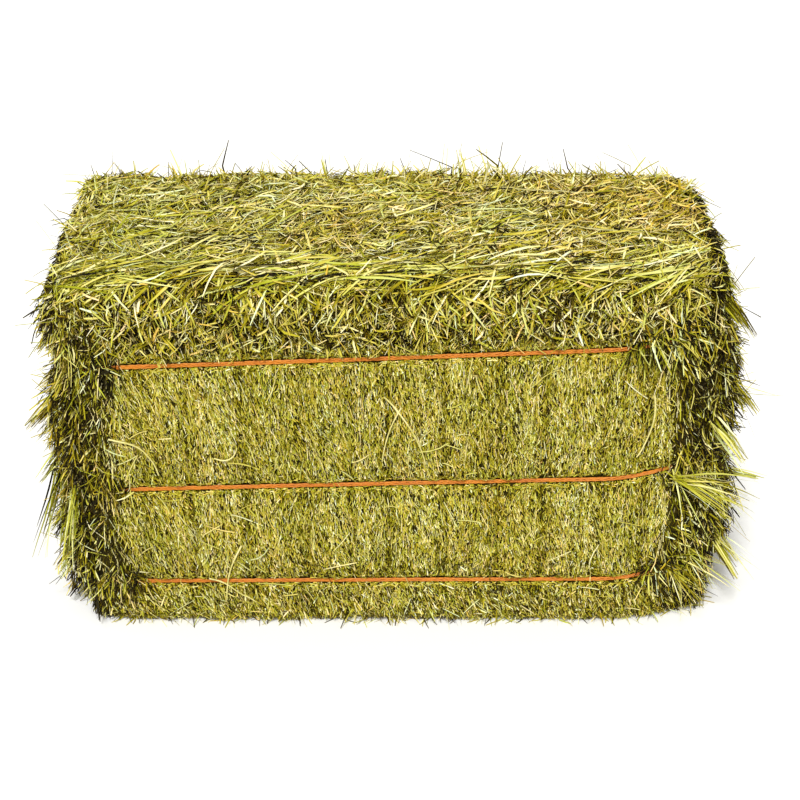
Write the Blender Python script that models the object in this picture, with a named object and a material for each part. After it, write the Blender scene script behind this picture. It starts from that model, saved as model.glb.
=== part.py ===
"""A three-string hay bale standing on its narrow face, built from its real pieces.

Frame: metres, +Z up, +X along the bale, the face with the knots' far side (the
front) towards -Y. The origin is on the ground under the middle of the bale.

The hay is pressed in flakes, slabs of folded stems that stand side by side along
X. Three twines run round the front, the ends and the back and bite into the hay,
and the hay swells out between them. Loose stems lie on the top and the front.
"""
import math
import random

import bmesh
import bpy
from mathutils import Vector, noise
from mathutils.bvhtree import BVHTree

for old in list(bpy.data.objects):
    bpy.data.objects.remove(old, do_unlink=True)

# The pressed hay
HEIGHT = 0.570
HALF_DEPTH = 0.205
FLAKE_SPAN = 0.445            # the inner flakes reach from -FLAKE_SPAN to +FLAKE_SPAN
INNER_FLAKES = 12
FLAKE_GAP = 0.0004
FLAKE_GROOVE = 0.0045         # how far a flake's edge lies under its middle
SIDE_SWELL = 0.008            # how far the hay stands out between two twines
ROUGHNESS = 0.0035            # lumps of the pressed surface

# The ends, which swell out between the twines like pillows: reach at -X and at +X
END_AT_TWINE = 0.470
END_PILLOW = {
    -1: {"bottom": 0.464, "lower": 0.500, "upper": 0.506, "top": 0.494},
    1: {"bottom": 0.480, "lower": 0.500, "upper": 0.502, "top": 0.476},
}
END_CORNER = 0.055

# The twines
TWINE_WIDE = 0.0056
TWINE_THICK = 0.0026
TWINE_BITE = 0.0075           # depth of the groove that a twine presses into the hay
TWINE_REST = 0.0033           # centre of the twine above the floor of its groove
GROOVE_HALF = 0.017
GROOVE_FLOOR = 0.0042         # half the flat floor of the deep groove across an end
KNOT_RADIUS = 0.0055
TAIL_LENGTH = 0.075
# height of each twine at the left end, the middle and the right end of the front
TWINE_HEIGHTS = {
    "bottom": (0.074, 0.077, 0.079),
    "middle": (0.236, 0.249, 0.260),
    "top": (0.440, 0.458, 0.478),
}

# Towards the right end the string faces bend back and the twines climb
BEND_FROM = 0.310
BEND_BACK = 0.028             # where the last flake starts
TWINE_CLIMB = {"bottom": 0.010, "middle": 0.012, "top": 0.006}

COLOURS = {
    "hay": ((0.37, 0.32, 0.055), 0.9),
    "stem": ((0.60, 0.52, 0.16), 0.7),
    "twine": ((0.78, 0.24, 0.025), 0.5),
}


def make_material(name):
    colour, rough = COLOURS[name]
    material = bpy.data.materials.new(name)
    material.use_nodes = True
    shader = material.node_tree.nodes["Principled BSDF"]
    shader.inputs["Base Color"].default_value = (*colour, 1.0)
    shader.inputs["Roughness"].default_value = rough
    shader.inputs["Metallic"].default_value = 0.0
    return material


MATERIALS = {name: make_material(name) for name in COLOURS}


def add_object(name, mesh_data, material):
    """Makes a closed object from a BMesh, with its faces turned outwards."""
    bmesh.ops.recalc_face_normals(mesh_data, faces=mesh_data.faces)
    mesh = bpy.data.meshes.new(name)
    mesh_data.to_mesh(mesh)
    mesh_data.free()
    mesh.materials.append(MATERIALS[material])
    thing = bpy.data.objects.new(name, mesh)
    bpy.context.scene.collection.objects.link(thing)
    return thing


def bend_share(x):
    """0 along most of the bale, and up to 1 where the last flake starts."""
    return max(0.0, min(1.0, (x - BEND_FROM) / (FLAKE_SPAN - BEND_FROM)))


def face_back(x):
    """How far the front and the back have bent inwards at x."""
    return BEND_BACK * bend_share(x) ** 2


def twine_height(which, x, back=False):
    """Height of a twine at x: the two long faces share it at the ends."""
    left, middle, right = TWINE_HEIGHTS[which]
    t = max(-1.0, min(1.0, x / END_AT_TWINE))
    share = bend_share(x)
    slope = (right - left) / 2 * t + TWINE_CLIMB[which] * share * share * (3 - 2 * share)
    if back:
        return (left + right) / 2 + slope
    return middle + slope + ((left + right) / 2 - middle) * t * t


def lump(point, size):
    """Smooth unevenness of the pressed hay, between -1 and 1."""
    return noise.noise(Vector(point) / size + Vector((7.3, 2.1, 5.7))) * 1.6


def side_rows(x, back, floor=0.0):
    """(height, inset, kind) of the rows up one side, from the ground to the top."""
    low = twine_height("bottom", x, back)
    mid = twine_height("middle", x, back)
    high = twine_height("top", x, back)
    rows = [(0.0, 0.022, "ground"), (0.012, 0.007, "edge"), (0.034, 0.001, "free")]
    stops = [("bottom", low), ("middle", mid), ("top", high)]
    for index, (which, level) in enumerate(stops):
        rows.append((level - GROOVE_HALF, 0.0, "lip"))
        for z in ((level - floor, level + floor) if floor else (level,)):
            rows.append((z, TWINE_BITE, which))
        rows.append((level + GROOVE_HALF, 0.0, "lip"))
        if index < 2:
            start = level + GROOVE_HALF
            stop = stops[index + 1][1] - GROOVE_HALF
            for part in (0.3, 0.7):
                rows.append((start + (stop - start) * part, -SIDE_SWELL, "free"))
    rows.append((HEIGHT - 0.046, 0.001, "free"))
    rows.append((HEIGHT - 0.020, 0.007, "edge"))
    rows.append((HEIGHT - 0.004, 0.021, "edge"))
    return rows


TOP_COLUMNS = (-0.115, 0.0, 0.115)


def outline(x, groove):
    """The bale's cross-section at x: front side up, over the top, back side down."""
    points = []
    for back in (False, True):
        side = 1.0 if back else -1.0
        column = []
        for z, inset, kind in side_rows(x, back):
            depth = HALF_DEPTH - inset - face_back(x)
            if kind in ("free", "edge", "lip"):
                rough = ROUGHNESS * (0.4 if kind == "lip" else 1.0)
                depth += rough * lump((x, side * 3.0, z), 0.07) - groove
            column.append((side * depth, z))
        if back:
            for y in TOP_COLUMNS:
                top = HEIGHT + 0.003 + 0.004 * lump((x, y, 9.0), 0.09) - groove * 1.2
                points.append((y, top))
            column.reverse()
        points.extend(column)
    return points


# Each boundary between two flakes is a plane x = place + lean_y * y + lean_z * z
picker = random.Random(20)
BOUNDARIES = []
for index in range(INNER_FLAKES + 1):
    step = 2 * FLAKE_SPAN / INNER_FLAKES
    shift = 0.0 if index in (0, INNER_FLAKES) else picker.uniform(-0.011, 0.011)
    lean_y = picker.uniform(-0.022, 0.022)
    lean_z = picker.uniform(-0.016, 0.016)
    BOUNDARIES.append((-FLAKE_SPAN + index * step + shift, lean_y, lean_z))


def on_boundary(index, y, z, side):
    place, lean_y, lean_z = BOUNDARIES[index]
    return place + lean_y * y + lean_z * (z - HEIGHT / 2) + side * FLAKE_GAP / 2


def inner_flake(number):
    """One slab between two boundaries, its edges a little under its middle."""
    mesh_data = bmesh.new()
    rings = []
    for part, groove in ((0.0, FLAKE_GROOVE), (0.3, 0.0), (0.7, 0.0), (1.0, FLAKE_GROOVE)):
        place = BOUNDARIES[number - 1][0] * (1 - part) + BOUNDARIES[number][0] * part
        ring = []
        for y, z in outline(place, groove):
            left = on_boundary(number - 1, y, z, +1)
            right = on_boundary(number, y, z, -1)
            ring.append(mesh_data.verts.new((left * (1 - part) + right * part, y, z)))
        rings.append(ring)
    for one, two in zip(rings, rings[1:]):
        for i in range(len(one)):
            j = (i + 1) % len(one)
            mesh_data.faces.new((one[i], one[j], two[j], two[i]))
    mesh_data.faces.new(rings[0])
    mesh_data.faces.new(rings[-1])
    return mesh_data


def end_reach(z, x_side):
    """How far the end reaches at a height: pillows between the twines."""
    x = x_side * END_AT_TWINE
    stops = [twine_height(which, x) for which in ("bottom", "middle", "top")]
    spans = ((0.0, stops[0], "bottom"), (stops[0], stops[1], "lower"),
             (stops[1], stops[2], "upper"), (stops[2], HEIGHT, "top"))
    for low, high, name in spans:
        if low <= z <= high + 1e-9:
            t = (z - low) / (high - low)
            if name == "bottom":
                swell = math.sin(math.pi * min(1.0, 0.28 + t * 0.72))
                base = END_AT_TWINE - 0.006 * (1 - t)
            elif name == "top":
                swell = math.sin(math.pi * t * 0.80) ** 0.6 if t > 0 else 0.0
                base = END_AT_TWINE
            else:
                # fullest just above the twine that it sags on to
                swell = math.sin(math.pi * t ** 0.85) ** 0.55 if 0 < t < 1 else 0.0
                base = END_AT_TWINE
            return base + (END_PILLOW[x_side][name] - base) * max(0.0, swell)
    return END_AT_TWINE


def end_flake(x_side):
    """The last slab, with one flat side and a pillowed end, as a stack of rows."""
    mesh_data = bmesh.new()
    index = 0 if x_side < 0 else INNER_FLAKES
    stack = []
    for z, inset, kind in side_rows(x_side * END_AT_TWINE, False, GROOVE_FLOOR):
        depth = HALF_DEPTH - inset - face_back(x_side * FLAKE_SPAN)
        free = kind not in TWINE_HEIGHTS
        reach = end_reach(z, x_side) if free else END_AT_TWINE
        if kind == "edge" and z > 0.3:
            reach -= inset * 0.8
        if kind == "ground":
            reach -= 0.004
        corner = min(END_CORNER, reach - FLAKE_SPAN - 0.006)
        plan = [(None, -depth), (reach - corner, -depth)]
        for turn in (30, 60, 90):
            a = math.radians(turn)
            plan.append((reach - corner + corner * math.sin(a),
                         -depth + END_CORNER * (1 - math.cos(a))))
        plan.append((reach, -0.075))
        plan.append((reach, 0.0))
        plan.extend([(x, -y) for x, y in reversed(plan[:-1])])
        row = []
        for x, y in plan:
            if x is None:
                place = on_boundary(index, y, z, x_side)
            else:
                place = x_side * x
                if free:
                    rough = ROUGHNESS * lump((place * 2, y, z + 4.0), 0.06)
                    place += x_side * rough * (2.2 if abs(y) < 0.17 else 0.8)
                    y += math.copysign(rough, y) if abs(y) > 0.1 else 0.0
            row.append(mesh_data.verts.new((place, y, z)))
        stack.append(row)
    for one, two in zip(stack, stack[1:]):
        for i in range(len(one)):
            j = (i + 1) % len(one)
            mesh_data.faces.new((one[i], one[j], two[j], two[i]))
    mesh_data.faces.new(stack[0])
    mesh_data.faces.new(stack[-1])
    return mesh_data


def sweep(points, sections, facing=None, closed=False):
    """A tube along points. Each section lists (across, out) offsets.

    Out is the side of the tube that faces the way given, or away from the
    bale's middle for a level tube.
    """
    mesh_data = bmesh.new()
    points = [Vector(p) for p in points]
    count = len(points)
    rings = []
    for i, point in enumerate(points):
        if closed:
            along = points[(i + 1) % count] - points[i - 1]
        else:
            along = points[min(i + 1, count - 1)] - points[max(i - 1, 0)]
        along.normalize()
        out = Vector(facing) if facing else Vector((0, 0, 1)).cross(along)
        out = (out - along * out.dot(along)).normalized()
        across = along.cross(out).normalized()
        ring = [mesh_data.verts.new(point + across * a + out * b) for a, b in sections[i]]
        rings.append(ring)
    spans = range(count if closed else count - 1)
    for i in spans:
        one, two = rings[i], rings[(i + 1) % count]
        for k in range(len(one)):
            n = (k + 1) % len(one)
            mesh_data.faces.new((one[k], one[n], two[n], two[k]))
    if not closed:
        mesh_data.faces.new(rings[0])
        mesh_data.faces.new(rings[-1])
    return mesh_data


def ellipse(wide, thick, sides):
    turns = [2 * math.pi * k / sides for k in range(sides)]
    return [(wide / 2 * math.cos(t), thick / 2 * math.sin(t)) for t in turns]


def tape(wide, thick):
    return [(-wide / 2, -thick / 2), (wide / 2, -thick / 2), (wide / 2, thick / 2), (-wide / 2, thick / 2)]


def bent_path(root, direction, length, droop, steps=3, sway=0.0):
    """Points of a stem that leaves its root and bends down under its own weight."""
    direction = Vector(direction).normalized()
    side = direction.cross(Vector((0, 0, 1)))
    side = side.normalized() if side.length > 0.01 else Vector((1, 0, 0))
    points = []
    for i in range(steps + 1):
        t = i / steps
        point = Vector(root) + direction * length * t
        point += Vector((0, 0, -droop * length)) * t * t + side * sway * length * t * t
        points.append(point)
    return points


def lock_mesh(root, direction, length, wide, thick, droop, sway=0.0):
    """A flat bundle of stems: fullest past its root, ragged and thin at its tip."""
    points = bent_path(root, direction, length, droop, 2, sway)
    sections = []
    for wider, thicker in ((0.90, 0.95), (1.0, 1.0), (0.26, 0.20)):
        sections.append(ellipse(wide * wider, thick * thicker, 4))
    facing = (0, 0, 1) if abs(points[-1].z - points[0].z) < 0.9 * length else (0, 1, 0)
    return sweep(points, sections, facing)


def fuse(target, pieces):
    """Joins separate closed meshes to a target with one Boolean union each."""
    for number, mesh_data in enumerate(pieces):
        other = add_object(f"{target.name}_growth_{number}", mesh_data, "hay")
        other.hide_render = True
        other.display_type = "WIRE"
        union = target.modifiers.new(f"union_{number}", "BOOLEAN")
        union.operation = "UNION"
        union.solver = "EXACT"
        union.object = other


# Locks: bundles of stems that stand out of the hay, each fused to its flake.
# Each is (root, direction, length, width, thickness, droop).
def end_locks(x_side):
    """Rows of locks that hang over each other down the end, like thatch."""
    locks = []
    draw = random.Random(31 if x_side > 0 else 57)
    x = x_side * END_AT_TWINE
    low, mid, high = (twine_height(which, x) for which in TWINE_HEIGHTS)
    bands = ((low + 0.045, mid - 0.035, 3), (mid + 0.045, high - 0.035, 4), (high + 0.050, 0, 1))
    for bottom, top, rows in bands:
        for row in range(rows):
            z = bottom + (top - bottom) * row / max(1, rows - 1)
            for column in range(3):
                y = -0.118 + 0.118 * column + (0.030 if row % 2 else -0.020)
                y += draw.uniform(-0.010, 0.010)
                root = (x_side * max(end_reach(z, x_side) - 0.024, FLAKE_SPAN + 0.017), y, z)
                direction = (x_side, y * 2.6, draw.uniform(-0.75, -0.35))
                length = draw.uniform(0.056, 0.072)
                wide = draw.uniform(0.030, 0.042)
                locks.append((root, direction, length, wide, 0.014, draw.uniform(0.25, 0.40)))
    return locks


LONG_END_LOCKS = {
    -1: [((-0.480, -0.070, 0.315), (-1, -0.35, 0.25), 0.088, 0.016, 0.008, 0.55),
         ((-0.470, -0.150, 0.125), (-1, -0.9, -1.1), 0.075, 0.018, 0.009, 0.10),
         ((-0.475, 0.030, 0.150), (-1, 0.2, 0.1), 0.082, 0.014, 0.008, 0.60)],
    1: [((0.475, -0.120, 0.222), (1, -0.30, 0.15), 0.090, 0.014, 0.006, 0.15),
        ((0.475, -0.155, 0.135), (1, -0.9, -1.1), 0.080, 0.018, 0.009, 0.10),
        ((0.480, 0.050, 0.400), (1, 0.3, 0.2), 0.080, 0.016, 0.008, 0.50)],
}

# stems that stand up out of the top: flake, place across, direction, length
TOP_LOCKS = {
    3: [(0.178, (-0.5, 0.5, 1.0), 0.058)],
    4: [(0.170, (0.7, 0.4, 0.8), 0.060), (-0.178, (0.4, -1.0, 0.7), 0.045)],
    6: [(0.185, (-0.25, 0.45, 1.0), 0.066), (-0.170, (-0.6, -0.8, 0.7), 0.048)],
    7: [(0.170, (0.35, 0.5, 0.9), 0.062)],
    8: [(0.180, (0.9, 0.3, 0.8), 0.066), (-0.175, (0.5, -0.9, 0.6), 0.045)],
    9: [(0.186, (-0.2, 0.4, 1.0), 0.070)],
    10: [(0.180, (0.8, 0.3, 0.7), 0.066), (-0.172, (-0.4, -0.8, 0.8), 0.046)],
    11: [(0.165, (-0.6, 0.5, 0.8), 0.055)],
}

flakes = []
for number in range(INNER_FLAKES + 2):
    if number in (0, INNER_FLAKES + 1):
        side = -1 if number == 0 else 1
        flake = add_object(f"flake_{number + 1:02d}", end_flake(side), "hay")
        growths = [lock_mesh(*lock) for lock in end_locks(side) + LONG_END_LOCKS[side]]
        fuse(flake, growths)
    else:
        flake = add_object(f"flake_{number + 1:02d}", inner_flake(number), "hay")
        middle = (BOUNDARIES[number - 1][0] + BOUNDARIES[number][0]) / 2
        growths = []
        for y, direction, length in TOP_LOCKS.get(number + 1, ()):
            root = (middle, y, HEIGHT - 0.018)
            growths.append(lock_mesh(root, direction, length, 0.013, 0.008, 0.10))
        fuse(flake, growths)
    flakes.append(flake)


def twine_corner(x_side):
    """A twine's turn from the front round one corner on to the end."""
    front = HALF_DEPTH - TWINE_BITE + TWINE_REST - face_back(x_side * FLAKE_SPAN)
    corner_x = END_AT_TWINE - FLAKE_SPAN - 0.006
    turn = []
    for angle in (0, 30, 60, 90):
        a = math.radians(angle)
        turn.append((x_side * (END_AT_TWINE - corner_x + (corner_x + TWINE_REST) * math.sin(a)),
                     -front + END_CORNER * (1 - math.cos(a))))
    return turn


def twine_on_flakes(which, back):
    """Points of a twine along one long face, from -X to +X: one on each flake, three where it bends."""
    route = []
    rest = HALF_DEPTH - TWINE_BITE + TWINE_REST
    for number in range(1, INNER_FLAKES + 1):
        left, right = BOUNDARIES[number - 1], BOUNDARIES[number]
        for part in ((0.02, 0.3, 0.7) if right[0] > BEND_FROM - 0.02 else (0.5,)):
            place = left[0] * (1 - part) + right[0] * part
            y = (rest - face_back(place)) * (1 if back else -1)
            z = twine_height(which, place, back)
            x = on_boundary(number - 1, y, z, 0) * (1 - part) + on_boundary(number, y, z, 0) * part
            route.append((x, y, z))
    return route


def twine_route(which):
    """The closed middle line of a twine: front, right end, back, left end."""
    reach = END_AT_TWINE + TWINE_REST
    at_right = twine_height(which, END_AT_TWINE)
    at_left = twine_height(which, -END_AT_TWINE)
    right, left = twine_corner(1), twine_corner(-1)
    route = twine_on_flakes(which, False)
    route.extend([(x, y, at_right) for x, y in right])
    route.append((reach, 0.0, at_right))
    route.extend([(x, -y, at_right) for x, y in reversed(right)])
    route.extend(reversed(twine_on_flakes(which, True)))
    route.extend([(x, -y, at_left) for x, y in left])
    route.append((-reach, 0.0, at_left))
    route.extend([(x, y, at_left) for x, y in reversed(left)])
    return route


def twine(which):
    route = twine_route(which)
    section = tape(TWINE_WIDE, TWINE_THICK)
    loop = add_object(f"twine_{which}", sweep(route, [section] * len(route), closed=True), "twine")
    place = {"bottom": -0.12, "middle": 0.05, "top": -0.05}[which]
    level = twine_height(which, place, True)
    surface = HALF_DEPTH - TWINE_BITE
    knot_at = Vector((place, surface + TWINE_REST + 0.0038, level))
    knot = bmesh.new()
    bmesh.ops.create_icosphere(knot, subdivisions=1, radius=KNOT_RADIUS)
    bmesh.ops.scale(knot, vec=(1.5, 0.8, 1.0), verts=knot.verts)
    bmesh.ops.translate(knot, vec=knot_at, verts=knot.verts)
    out = surface + TWINE_BITE + SIDE_SWELL + 0.0065
    pieces = [knot]
    for tip in (-1, 1):
        path = [knot_at + Vector((tip * 0.003, 0.0, 0.0)),
                (place + tip * 0.010, out - 0.004, level - 0.008),
                (place + tip * 0.018, out, level - 0.028),
                (place + tip * 0.024, out + 0.001, level - TAIL_LENGTH * 0.8)]
        pieces.append(sweep(path, [ellipse(0.0040, 0.0022, 4)] * 4, (0, 1, 0)))
    fuse(loop, pieces)
    return loop


twines = [twine(which) for which in TWINE_HEIGHTS]

# Loose stems that lie on the bale. Each is laid on what is already there.
bpy.context.view_layer.update()
depsgraph = bpy.context.evaluated_depsgraph_get()
surfaces = []
for thing in flakes + twines:
    tree = BVHTree.FromObject(thing, depsgraph)
    surfaces.append(tree)


LAY_FROM = 0.6                # the rays start this far outside
LAY_STEPS = 6                 # rays along each piece of a stem
LAY_SPREAD = 0.004            # and to each side of it


def first_hit(start, towards):
    """Distance to the nearest surface along a ray, or None."""
    hits = [tree.ray_cast(start, towards)[3] for tree in surfaces]
    hits = [distance for distance in hits if distance is not None]
    return min(hits) if hits else None


def lay(points, towards, radius):
    """Drops the points of a stiff stem against the bale, along the axis towards."""
    towards = Vector(towards)
    points = [Vector(point) for point in points]
    found = [[] for _ in points]
    for i, (one, two) in enumerate(zip(points, points[1:])):
        beside = towards.cross(two - one).normalized() * LAY_SPREAD
        for step in range(LAY_STEPS + 1):
            at = one.lerp(two, step / LAY_STEPS) - towards * LAY_FROM
            for shift in (-beside, 0 * beside, beside):
                distance = first_hit(at + shift, towards)
                if distance is not None:
                    found[i].append(distance)
                    found[i + 1].append(distance)
    clear = radius + 0.0006
    return [point - towards * (LAY_FROM - min(near) + clear) for point, near in zip(points, found)]


def loose_stem(name, points, towards, wide, thick, taper=0.35):
    """A stem or blade laid over the bale; points are on a smooth route."""
    laid = lay(points, towards, thick / 2)
    count = len(laid)
    sections = []
    for i in range(count):
        t = i / (count - 1)
        scale = 1.0 - (1.0 - taper) * t
        sections.append(ellipse(wide * scale, thick, 4))
    stem = add_object(name, sweep(laid, sections, towards), "stem")
    stem.data.update()
    bpy.context.view_layer.update()
    surfaces.append(BVHTree.FromObject(stem, bpy.context.evaluated_depsgraph_get()))
    return stem


def arc(start, stop, bow, steps):
    """Points from start to stop in a plane, bowed sideways by bow times the length."""
    start, stop = Vector(start), Vector(stop)
    along = stop - start
    side = Vector((-along.y, along.x)) * bow
    return [start + along * (i / steps) + side * 4 * (i / steps) * (1 - i / steps)
            for i in range(steps + 1)]


# on the front: (x, z) of both ends, bow, width
FRONT_STEMS = [
    ((-0.412, 0.335), (-0.345, 0.268), 0.18, 0.0030),
    ((-0.262, 0.300), (-0.228, 0.318), -0.30, 0.0024),
    ((-0.228, 0.150), (-0.255, 0.045), -0.06, 0.0028),
    ((-0.280, 0.085), (-0.208, 0.036), 0.03, 0.0026),
    ((0.392, 0.545), (0.386, 0.425), 0.05, 0.0026),
    ((-0.015, 0.400), (0.045, 0.290), 0.08, 0.0028),
    ((0.010, 0.385), (-0.018, 0.295), -0.05, 0.0022),
    ((0.372, 0.400), (0.352, 0.300), 0.10, 0.0030),
]
for number, (start, stop, bow, wide) in enumerate(FRONT_STEMS, 1):
    route = arc(start, stop, bow, 5)
    points = [(p.x, 0.0, p.y) for p in route]
    loose_stem(f"loose_stem_front_{number:02d}", points, (0, 1, 0), wide, 0.0018)

# on the top: (x, y) of both ends, bow, width
TOP_STEMS = [
    ((-0.430, 0.120), (-0.210, 0.150), 0.04, 0.0060),
    ((-0.400, -0.060), (-0.160, -0.020), -0.05, 0.0050),
    ((-0.300, -0.165), (-0.060, -0.176), 0.03, 0.0045),
    ((-0.120, 0.070), (0.110, 0.050), 0.06, 0.0060),
    ((-0.060, -0.110), (0.190, -0.080), 0.05, 0.0050),
    ((0.140, 0.140), (0.370, 0.115), -0.04, 0.0060),
    ((0.210, -0.010), (0.430, -0.050), 0.04, 0.0055),
    ((0.110, -0.170), (0.350, -0.162), -0.03, 0.0045),
]
for number, (start, stop, bow, wide) in enumerate(TOP_STEMS, 1):
    route = arc(start, stop, bow, 6)
    points = [(p.x, p.y, 0.3) for p in route]
    loose_stem(f"loose_blade_top_{number:02d}", points, (0, 0, -1), wide, 0.0014, 0.25)

# on the back: (x, z) of both ends
BACK_STEMS = [
    ((-0.330, 0.400), (-0.250, 0.300), 0.10, 0.0030),
    ((0.200, 0.420), (0.290, 0.330), -0.08, 0.0028),
    ((0.280, 0.190), (0.240, 0.110), 0.06, 0.0026),
    ((-0.260, 0.170), (-0.330, 0.100), 0.08, 0.0028),
]
for number, (start, stop, bow, wide) in enumerate(BACK_STEMS, 1):
    route = arc(start, stop, bow, 5)
    points = [(p.x, 0.0, p.y) for p in route]
    loose_stem(f"loose_stem_back_{number:02d}", points, (0, -1, 0), wide, 0.0018)
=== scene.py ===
# %% [markdown]
# # A three-string hay bale
# The frame holds the bale's solids at their real size: fourteen pressed flakes, three twines and
# some loose stems. This script dresses them. The hay itself is nearly three hundred thousand
# stems, blades and chopped ends, and each is a small strip or tube of real mesh, so that its
# edges, gaps and shadows are there from every side.

# %% Load the frame
import math
import random
import time

import bpy
import numpy as np
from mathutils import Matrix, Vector, noise


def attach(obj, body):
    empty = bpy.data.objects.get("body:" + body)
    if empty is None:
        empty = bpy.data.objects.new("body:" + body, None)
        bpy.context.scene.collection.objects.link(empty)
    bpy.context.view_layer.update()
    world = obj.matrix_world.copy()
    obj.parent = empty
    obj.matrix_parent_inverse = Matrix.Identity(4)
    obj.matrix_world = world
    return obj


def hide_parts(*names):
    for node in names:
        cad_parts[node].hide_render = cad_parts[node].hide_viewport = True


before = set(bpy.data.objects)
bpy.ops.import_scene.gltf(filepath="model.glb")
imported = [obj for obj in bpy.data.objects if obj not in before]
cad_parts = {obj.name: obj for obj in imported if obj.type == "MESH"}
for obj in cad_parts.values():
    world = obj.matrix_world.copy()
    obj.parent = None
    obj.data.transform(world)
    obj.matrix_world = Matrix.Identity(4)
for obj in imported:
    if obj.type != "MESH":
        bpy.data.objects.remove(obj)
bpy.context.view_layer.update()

started = time.time()
rng = np.random.default_rng(7)

# %% [markdown]
# ## The bale's measures
# These are the sizes the solids were made with, in metres. The strips of hay are laid on the same
# form, so every measure that shapes the form is named here once.

# %% Sizes
HEIGHT = 0.570
HALF_DEPTH = 0.205
FLAKE_SPAN = 0.445
INNER_FLAKES = 12
FLAKE_GROOVE = 0.0045
SIDE_SWELL = 0.008
END_AT_TWINE = 0.470
END_PILLOW = {
    -1: {"bottom": 0.464, "lower": 0.500, "upper": 0.506, "top": 0.494},
    1: {"bottom": 0.480, "lower": 0.500, "upper": 0.502, "top": 0.476},
}
END_CORNER = 0.055
TWINE_BITE = 0.0075
TWINE_REST = 0.0033
TWINE_HEIGHTS = {
    "bottom": (0.074, 0.077, 0.079),
    "middle": (0.236, 0.249, 0.260),
    "top": (0.440, 0.458, 0.478),
}
BEND_FROM = 0.310
BEND_BACK = 0.028
TWINE_CLIMB = {"bottom": 0.010, "middle": 0.012, "top": 0.006}
TOP_EDGE = 0.024
LOWEST = 0.0012               # nothing of the hay reaches lower than this

picker = random.Random(20)
boundaries = []
for index in range(INNER_FLAKES + 1):
    step = 2 * FLAKE_SPAN / INNER_FLAKES
    shift = 0.0 if index in (0, INNER_FLAKES) else picker.uniform(-0.011, 0.011)
    lean_y = picker.uniform(-0.022, 0.022)
    lean_z = picker.uniform(-0.016, 0.016)
    boundaries.append((-FLAKE_SPAN + index * step + shift, lean_y, lean_z))
print("flake boundaries", [round(b[0], 3) for b in boundaries])

# %% [markdown]
# ## The camera
# The photo looks down on the bale by a little under thirty degrees, straight at its long side,
# from far enough away that its upright edges hardly lean. A long lens at nearly three metres
# gives the same.

# %% Camera
LOOK_DOWN = math.radians(29.5)
CAMERA_FAR = 2.94
AIM = Vector((0.008, 0.0, 0.276))

camera_data = bpy.data.cameras.new("camera")
camera_data.lens = 85.0
camera_data.sensor_width = 36.0
camera = bpy.data.objects.new("camera", camera_data)
bpy.context.scene.collection.objects.link(camera)
camera.location = AIM + CAMERA_FAR * Vector((0, -math.cos(LOOK_DOWN), math.sin(LOOK_DOWN)))
camera.rotation_euler = (AIM - camera.location).to_track_quat("-Z", "Y").to_euler()
bpy.context.scene.camera = camera
print("camera at", [round(v, 3) for v in camera.location])

# %% [markdown]
# ## Shader maths as Python
# A material's maths reads best as an expression. `Wire` holds one output socket, and adding or
# multiplying wires adds the Math nodes. `Finish` makes the material and any other node.

# %% A small shader language
class Wire:
    """An output socket that can be used in sums."""

    def __init__(self, finish, socket):
        self.finish = finish
        self.socket = socket

    def math(self, operation, *others):
        return self.finish.node("ShaderNodeMath", {"operation": operation}, [self, *others])

    def __add__(self, other):
        return self.math("ADD", other)

    def __sub__(self, other):
        return self.math("SUBTRACT", other)

    def __mul__(self, other):
        return self.math("MULTIPLY", other)

    def __truediv__(self, other):
        return self.math("DIVIDE", other)

    def __rsub__(self, other):
        return self.finish.node("ShaderNodeMath", {"operation": "SUBTRACT"}, [other, self])

    __radd__ = __add__
    __rmul__ = __mul__

    def clamp(self, low=0.0, high=1.0):
        return self.math("MAXIMUM", low).math("MINIMUM", high)


class Finish:
    """One material, and its nodes."""

    def __init__(self, name):
        self.material = bpy.data.materials.new(name)
        self.material.use_nodes = True
        self.tree = self.material.node_tree
        self.shader = self.tree.nodes["Principled BSDF"]

    def node(self, kind, settings=None, values=(), out=0):
        made = self.tree.nodes.new(kind)
        for key, value in (settings or {}).items():
            if key == "step":
                made.color_ramp.interpolation = "CONSTANT"
            elif key == "stops":
                ramp = made.color_ramp
                while len(ramp.elements) < len(value):
                    ramp.elements.new(0.5)
                for element, (place, colour) in zip(ramp.elements, value):
                    element.position = place
                    element.color = (*colour, 1.0)
            else:
                setattr(made, key, value)
        pairs = values.items() if isinstance(values, dict) else enumerate(values)
        for key, value in pairs:
            self.put(made.inputs[key], value)
        return Wire(self, made.outputs[out])

    def put(self, socket, value):
        if isinstance(value, Wire):
            self.tree.links.new(value.socket, socket)
        elif socket.type == "RGBA" and len(value) == 3:
            socket.default_value = (*value, 1.0)
        else:
            socket.default_value = value

    def surface(self, **values):
        for key, value in values.items():
            self.put(self.shader.inputs[key.replace("_", " ")], value)

    def mix(self, one, two, share, blend="MIX"):
        settings = {"data_type": "RGBA", "blend_type": blend}
        return self.node("ShaderNodeMix", settings, {0: share, 6: one, 7: two}, out=2)

    def place(self, scale, turn=(0, 0, 0)):
        """Object coordinates, stretched to a grain's direction and size."""
        spot = self.node("ShaderNodeTexCoord", out="Object")
        return self.node("ShaderNodeMapping", {}, {"Vector": spot, "Scale": scale, "Rotation": turn})

    def noise(self, vector, scale, detail=2.0, rough=0.5):
        values = {"Vector": vector, "Scale": scale, "Detail": detail, "Roughness": rough}
        return self.node("ShaderNodeTexNoise", {}, values, out="Fac")


def srgb(red, green, blue):
    """A colour as a screen shows it, 0 to 255, in the linear values that a shader needs."""
    parts = [c / 255 for c in (red, green, blue)]
    return tuple(c / 12.92 if c <= 0.04045 else ((c + 0.055) / 1.055) ** 2.4 for c in parts)


print("shader helpers ready")

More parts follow.
